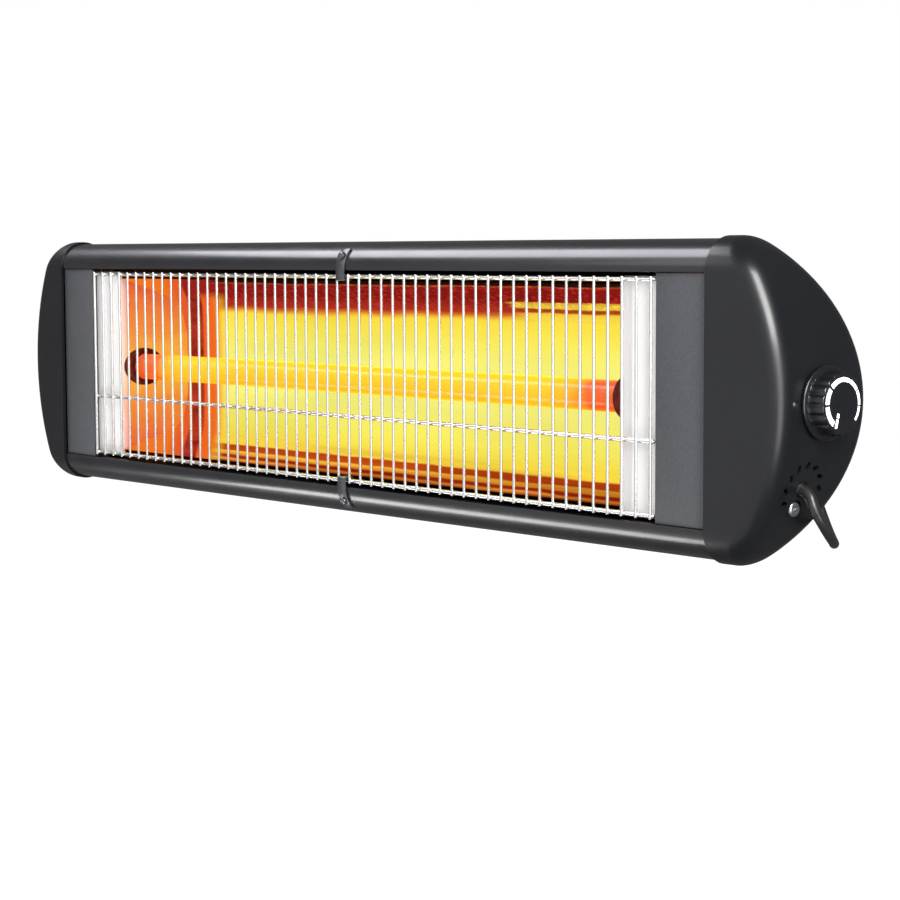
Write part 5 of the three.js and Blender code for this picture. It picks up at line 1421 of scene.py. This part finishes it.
def hank_points():
    """Round and round between two folds, drawn in at the tie, a layer higher on each back run."""
    turns = bpy.context.scene.heater_cord.turns
    low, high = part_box("cord_tie")
    middle = (low + high) / 2
    half = HANK_RUN / 2
    points = []
    for turn in range(turns):
        level = HANK_BOTTOM + HANK_PITCH * turn
        for way in (-1, 1):
            climb = HANK_PITCH if way > 0 else 0
            for k in range(HANK_STEPS):
                share = k / HANK_STEPS
                drawn = HANK_WAIST * math.sin(math.pi * share) ** 2
                z = level + climb * share * share * (3 - 2 * share)
                x = middle.x + way * (share - 0.5) * HANK_RUN
                points.append((x, middle.y + way * (HANK_HALF - drawn), z))
            for k in range(HANK_STEPS):
                angle = math.pi * k / HANK_STEPS
                x = middle.x + way * (half + HANK_HALF * math.sin(angle))
                y = middle.y + way * HANK_HALF * math.cos(angle)
                points.append((x, y, level + climb))
    points.append((middle.x + half, middle.y - HANK_HALF, HANK_BOTTOM + HANK_PITCH * turns))
    return points


def cord_curve(name, points, diameter):
    curve = bpy.data.curves.new(name, "CURVE")
    curve.dimensions = "3D"
    curve.bevel_depth = diameter / 2
    curve.bevel_resolution = 5
    curve.use_fill_caps = True
    line = curve.splines.new("POLY")
    line.points.add(len(points) - 1)
    for spot, point in zip(line.points, points):
        spot.co = (*point, 1)
    return link(name, curve)


def strain_relief():
    """The short smooth relief, and the neck and flange that hold it in the cap."""
    exit_at, axis = gland_exit()
    points = [exit_at + axis * d * MM for d, _ in RELIEF_FOOT]
    radii = [r * MM for _, r in RELIEF_FOOT]
    path = centripetal([exit_at + Vector(p) for p in GLAND_ROUTE], 16)
    path = [p for p in path if (p - exit_at).dot(axis) > 1.0 * MM]
    for i, point in enumerate(path):
        share = i / (len(path) - 1)
        points.append(point)
        radii.append(RELIEF_RADIUS - RELIEF_TAPER * min(1, share * 2.2))
    piece = make_piece("cord_relief", *sweep(points, radii, 28))
    return settle_in(piece, "rubber", "cord_gland", angle=50)


def plug():
    low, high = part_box("plug_body")
    middle = (low + high) / 2
    profile = [(0, 0), (17.7, 0), (18.5, 0.8), (18.5, 11.5), (17.8, 12.6), (17, 14)]
    for k in range(6):  # grip rings
        start, thinner = 15.5 + 2.6 * k, 0.12 * k
        profile += [(16.9 - thinner, start), (16.2 - thinner, start + 0.5)]
        profile += [(16.2 - thinner, start + 1.3), (16.8 - thinner, start + 1.8)]
    profile += [(15.6, 33), (13.5, 37), (9.6, 41), (8.3, 43)]
    for k in range(3):  # the ribs of its own strain relief
        start, thinner = 44 + 3 * k, 0.5 * k
        profile += [(7.9 - thinner, start), (7.2 - thinner, start + 0.6)]
        profile += [(7.2 - thinner, start + 1.6), (7.7 - thinner, start + 2.2)]
    profile += [(6.2, 53.6), (5.8, 54), (0, 54)]
    body = turned(in_mm(profile), (low.x, middle.y, middle.z), (1, 0, 0), 48)
    piece = make_piece("moulded_plug", *body)
    sides = (middle.y - PIN_REACH, middle.y + PIN_REACH)
    carve(piece, [rod_x(y, middle.z, PIN_HOLE, low.x - MM, low.x + 9 * MM) for y in sides])
    return settle_in(piece, "rubber", "plug_body", angle=30)


def plug_pin(node, name):
    low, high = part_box(node)
    centre = (low + high) / 2
    radius, reach = (high.y - low.y) / 2, high.x - low.x
    profile = [(0, 0), (radius * 0.5, 0.2 * MM), (radius * 0.85, 0.9 * MM), (radius, 2.2 * MM)]
    profile += [(radius, reach), (0, reach)]
    piece = make_piece(name, *turned(profile, (low.x, centre.y, centre.z), (1, 0, 0), 28))
    return settle_in(piece, "chrome", node, angle=40)


def tie_band():
    low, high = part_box("cord_tie")

    def loop(inset, radius):
        y0, y1, z0, z1 = low.y + inset, high.y - inset, low.z + inset, high.z - inset
        return round_line([(y0, z0), (y1, z0), (y1, z1), (y0, z1)], radius, 6, True)

    outer, inner = loop(0, 4 * MM), loop(TIE_SHEET, 3 * MM)
    around = ((outer, low.x), (outer, high.x), (inner, high.x), (inner, low.x))
    rings = [[(x, p[0], p[1]) for p in line] for line, x in around]
    piece = make_piece("tie_band", *loft(rings, wrap=True))
    soften(piece, 0.2 * MM)
    return settle_in(piece, "rubber", "cord_tie", angle=40)


class HEATER_OT_cord(bpy.types.Operator):
    """Lays the supply cord: out of the cap, round behind it, into a hank with its plug"""

    bl_idname = "heater.cord"
    bl_label = "Cord and Plug"

    def execute(self, context):
        sizes = context.scene.heater_cord
        points = centripetal(CORD_ROUTE, 6) + hank_points()[1:] + centripetal(PLUG_ROUTE, 6)
        kept = [Vector(points[0])]
        for point in points[1:]:
            if (Vector(point) - kept[-1]).length > CLOSEST:
                kept.append(Vector(point))
        cord = cord_curve("mains_cord", kept, sizes.diameter)
        cord.data.materials.append(finish_of("rubber"))
        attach(cord, "heater")
        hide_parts("supply_cord", "cord_hank", "plug_tail")
        relief = strain_relief()
        body = plug()
        pins = [plug_pin("plug_pin_a", "first_pin"), plug_pin("plug_pin_b", "second_pin")]
        band = tie_band()
        return {"FINISHED"}


# ---- Fasteners, inner pieces and wall bracket ---------------------------------------------------
class HEATER_OT_fasteners(bpy.types.Operator):
    """Builds the cap screws, the bracket screws and the tilt bolts"""

    bl_idname = "heater.fasteners"
    bl_label = "Fasteners"

    def execute(self, context):
        seat = Vector((SEAM + end_width(SCREW_Z) - SCREW_SEAT + CLEAR, SCREW_Y, SCREW_Z))
        sizes = (9 * MM, 2.6 * MM, 3.8 * MM, seat.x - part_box("right_cap_screw")[0].x)
        for side in (1, -1):
            end = end_of(side)
            at, inward = seat * Vector((side, 1, 1)), Vector((-side, 0, 0))
            cross_screw(f"{end}_end_screw", f"{end}_cap_screw", "steel", at, inward, sizes)
        for end in ("left", "right"):
            for letter in ("a", "b"):
                node = f"{end}_lug_screw_{letter}"
                low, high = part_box(node)
                seat = Vector(((low.x + high.x) / 2, high.y - 2.4 * MM, 0))
                sizes = (7.5 * MM, 2.4 * MM, 3.8 * MM, seat.y - low.y)
                name = f"{end}_bracket_screw_{letter}"
                cross_screw(name, node, "steel", seat, Vector((0, -1, 0)), sizes)
            dressed_copy(f"{end}_tilt_bolt", f"{end}_hinge_bolt", "steel", 0.25 * MM)
            dressed_copy(f"{end}_tilt_nut", f"{end}_hinge_nut", "steel", 0.25 * MM)
        return {"FINISHED"}


class HEATER_OT_brackets(bpy.types.Operator):
    """Builds the wall rail and the brackets that the heater tilts on"""

    bl_idname = "heater.brackets"
    bl_label = "Wall Brackets"

    def execute(self, context):
        dressed_copy("wall_rail", "slotted_wall_rail", "satin_black", 0.5 * MM)
        for end in ("left", "right"):
            dressed_copy(f"{end}_lug_bracket", f"{end}_swing_bracket", "satin_black", 0.4 * MM)
        return {"FINISHED"}


INNER_PIECES = {
    "steel": {
        "right_end_frame": "right_frame_plate",
        "left_end_frame": "left_frame_plate",
        "right_holder_bracket": "right_cup_bracket",
        "left_holder_bracket": "left_cup_bracket",
        "right_tube_stud": "right_terminal_stud",
        "left_tube_stud": "left_terminal_stud",
        "regulator_shaft": "control_shaft",
        "regulator_nut": "control_nut",
        "cord_clamp": "inner_cord_clamp",
    },
    "bakelite": {"regulator_body": "control_case", "thermal_cutout": "safety_cutout"},
    "pale_plastic": {"terminal_block": "connection_block"},
    "wire_sleeve": {
        "right_feed_wire": "right_sleeve",
        "left_feed_wire": "left_sleeve",
        "cutout_wire": "cutout_sleeve",
        "regulator_lead": "control_sleeve",
    },
    "rubber": {"inner_cord": "sheathed_cord"},
}
ALREADY_ROUND = ("wire_sleeve", "rubber")  # wires and cord, whose edges stay as they are


class HEATER_OT_inner_pieces(bpy.types.Operator):
    """Builds the frames, the control, the terminals and the wiring inside"""

    bl_idname = "heater.inner_pieces"
    bl_label = "Inner Pieces"

    def execute(self, context):
        for finish, pieces in INNER_PIECES.items():
            edge = 0 if finish in ALREADY_ROUND else 0.15 * MM
            for node, name in pieces.items():
                dressed_copy(node, name, finish, edge)
        return {"FINISHED"}


# ---- Stage --------------------------------------------------------------------------------------
CAMERA_AT = (1.2356, -1.1200, 0.0874)
CAMERA_AZIMUTH, CAMERA_DROP, CAMERA_ROLL = 48.83, 5.025, -0.22  # degrees
FLOOR_REACH, FLOOR_GLOW = 9, 0.34  # half its side, and what it adds where it is seen
WORLD_LEVEL, WORLD_BEHIND = 0.78, 0.16  # its light, and its reflection on the wall's side
WORLD_FADE = (-0.74, -0.5)  # over which directions in Y the reflection fades
SOFTBOXES = {  # where, towards, width, height, radiance, tint
    "strip softbox": ((-1.27, -0.6, 1.3), (-1.27, -0.6, 0.0), 1.45, 0.8, 9.5, (0.93, 0.94, 1)),
    "low softbox": ((-0.54, -0.48, -0.58), (-0.54, -0.48, 0.0), 0.78, 0.2, 11.0),
    "left softbox": ((-0.69, -1.25, 0.85), (0.33, -0.15, 0.0), 0.5, 0.5, 2.2),
    "upper right softbox": ((1.71, -0.74, 0.93), (0.4, -0.13, 0.03), 0.72, 0.9, 32.0),
    "right softbox": ((1.95, -0.73, -0.1), (0.4, -0.13, 0.0), 0.6, 1.0, 7.0),
}


def place_camera(lens):
    azimuth, drop, roll = (math.radians(a) for a in (CAMERA_AZIMUTH, CAMERA_DROP, CAMERA_ROLL))
    level = Vector((math.cos(azimuth), math.sin(azimuth), 0))
    flat = math.cos(drop)
    ahead = Vector((-math.sin(azimuth) * flat, math.cos(azimuth) * flat, -math.sin(drop)))
    upward = level.cross(ahead)
    right = level * math.cos(roll) + upward * math.sin(roll)
    top = upward * math.cos(roll) - level * math.sin(roll)
    camera = link("camera", bpy.data.cameras.new("camera"))
    camera.data.lens = lens
    camera.data.sensor_width = 36
    matrix = Matrix((right, top, -ahead)).transposed().to_4x4()
    matrix.translation = CAMERA_AT
    camera.matrix_world = matrix
    bpy.context.scene.camera = camera


def softbox(name, at, toward, wide, high, radiance, tint=(1, 1, 1)):
    light = bpy.data.lights.new(name, "AREA")
    light.shape = "RECTANGLE"
    light.size, light.size_y = wide, high
    light.energy = radiance * math.pi * wide * high
    light.color = tint
    lamp = link(name, light)
    lamp.location = at
    lamp.visible_camera = False
    lamp.rotation_mode = "QUATERNION"
    lamp.rotation_quaternion = (Vector(toward) - Vector(at)).to_track_quat("-Z", "Y")


def white_world():
    """White to the eye; as a light it is level, and reflections fade on the wall's side."""
    world = bpy.data.worlds.new("studio")
    bpy.context.scene.world = world
    world.use_nodes = True
    sky = Nodes(world.node_tree)
    path = sky.node("LightPath").outputs
    toward = sky.parts(sky.node("TexCoord").outputs["Generated"])["Y"]
    shiny = sky.between(toward, 1.0, WORLD_BEHIND, *WORLD_FADE)
    shiny = sky.math("MULTIPLY", path["Is Glossy Ray"], shiny)
    rest = sky.math("MULTIPLY", sky.math("SUBTRACT", 1.0, path["Is Glossy Ray"]), WORLD_LEVEL)
    seen = sky.math("MAXIMUM", path["Is Camera Ray"], path["Is Transmission Ray"])
    strength = sky.math("MAXIMUM", seen, sky.math("MAXIMUM", shiny, rest))
    background = world.node_tree.nodes["Background"].inputs
    sky.join(background["Strength"], strength)
    sky.join(background["Color"], (1, 1, 1, 1))


def pale_floor(drop):
    near, far = -FLOOR_REACH, FLOOR_REACH
    corners = [(near, near, -drop), (far, near, -drop), (far, far, -drop), (near, far, -drop)]
    floor = make_piece("floor", corners, [(0, 1, 2, 3)])
    paper = Finish("pale floor", specular_ior_level=0.0, emission_color=(1, 1, 1))
    paper.varied((0.86, 0.86, 0.86), 0.01, 0.5, 0.9, 0.02)
    path = paper.node("LightPath").outputs
    seen = paper.math("MAXIMUM", path["Is Camera Ray"], path["Is Glossy Ray"])
    seen = paper.math("MAXIMUM", seen, path["Is Transmission Ray"])
    paper.feed("Emission Strength", paper.math("MULTIPLY", seen, FLOOR_GLOW))
    floor.data.materials.append(paper.material)
    floor.visible_glossy = False


class HEATER_OT_stage(bpy.types.Operator):
    """Places the camera, the pale floor, the soft lights and the white surroundings"""

    bl_idname = "heater.stage"
    bl_label = "Camera, Floor and Light"

    def execute(self, context):
        stage = context.scene.heater_stage
        place_camera(stage.lens)
        pale_floor(stage.floor_drop)
        for name, settings in SOFTBOXES.items():
            softbox(name, *settings)
        white_world()
        context.scene.view_settings.view_transform = "Standard"
        return {"FINISHED"}


# ---- Panel and running --------------------------------------------------------------------------
STEPS = [
    HEATER_OT_stage,
    HEATER_OT_cord,
    HEATER_OT_housing,
    HEATER_OT_end_caps,
    HEATER_OT_reflector,
    HEATER_OT_guard,
    HEATER_OT_knob,
    HEATER_OT_fasteners,
    HEATER_OT_brackets,
    HEATER_OT_inner_pieces,
]
GROUPS = {
    "heater_housing": HousingSizes,
    "heater_guard": GuardSizes,
    "heater_knob": KnobSizes,
    "heater_cord": CordSizes,
    "heater_colours": HeaterColours,
    "heater_stage": StageSettings,
}


class HEATER_PT_panel(bpy.types.Panel):
    """Lists the heater's builders"""

    bl_idname = "HEATER_PT_panel"
    bl_label = "Electric Bar Heater"
    bl_space_type = "VIEW_3D"
    bl_region_type = "UI"
    bl_category = "Heater"

    def draw(self, context):
        for step in STEPS:
            self.layout.operator(step.bl_idname)


def register():
    for group in GROUPS.values():
        bpy.utils.register_class(group)
    for name, group in GROUPS.items():
        setattr(bpy.types.Scene, name, PointerProperty(type=group))
    for step in STEPS:
        bpy.utils.register_class(step)
    bpy.utils.register_class(HEATER_PT_panel)


def unregister():
    bpy.utils.unregister_class(HEATER_PT_panel)
    for step in reversed(STEPS):
        bpy.utils.unregister_class(step)
    for name in GROUPS:
        delattr(bpy.types.Scene, name)
    for group in reversed(list(GROUPS.values())):
        bpy.utils.unregister_class(group)


def main():
    register()
    for step in STEPS:
        area, call = step.bl_idname.split(".")
        getattr(getattr(bpy.ops, area), call)()


if __name__ == "__main__":
    main()
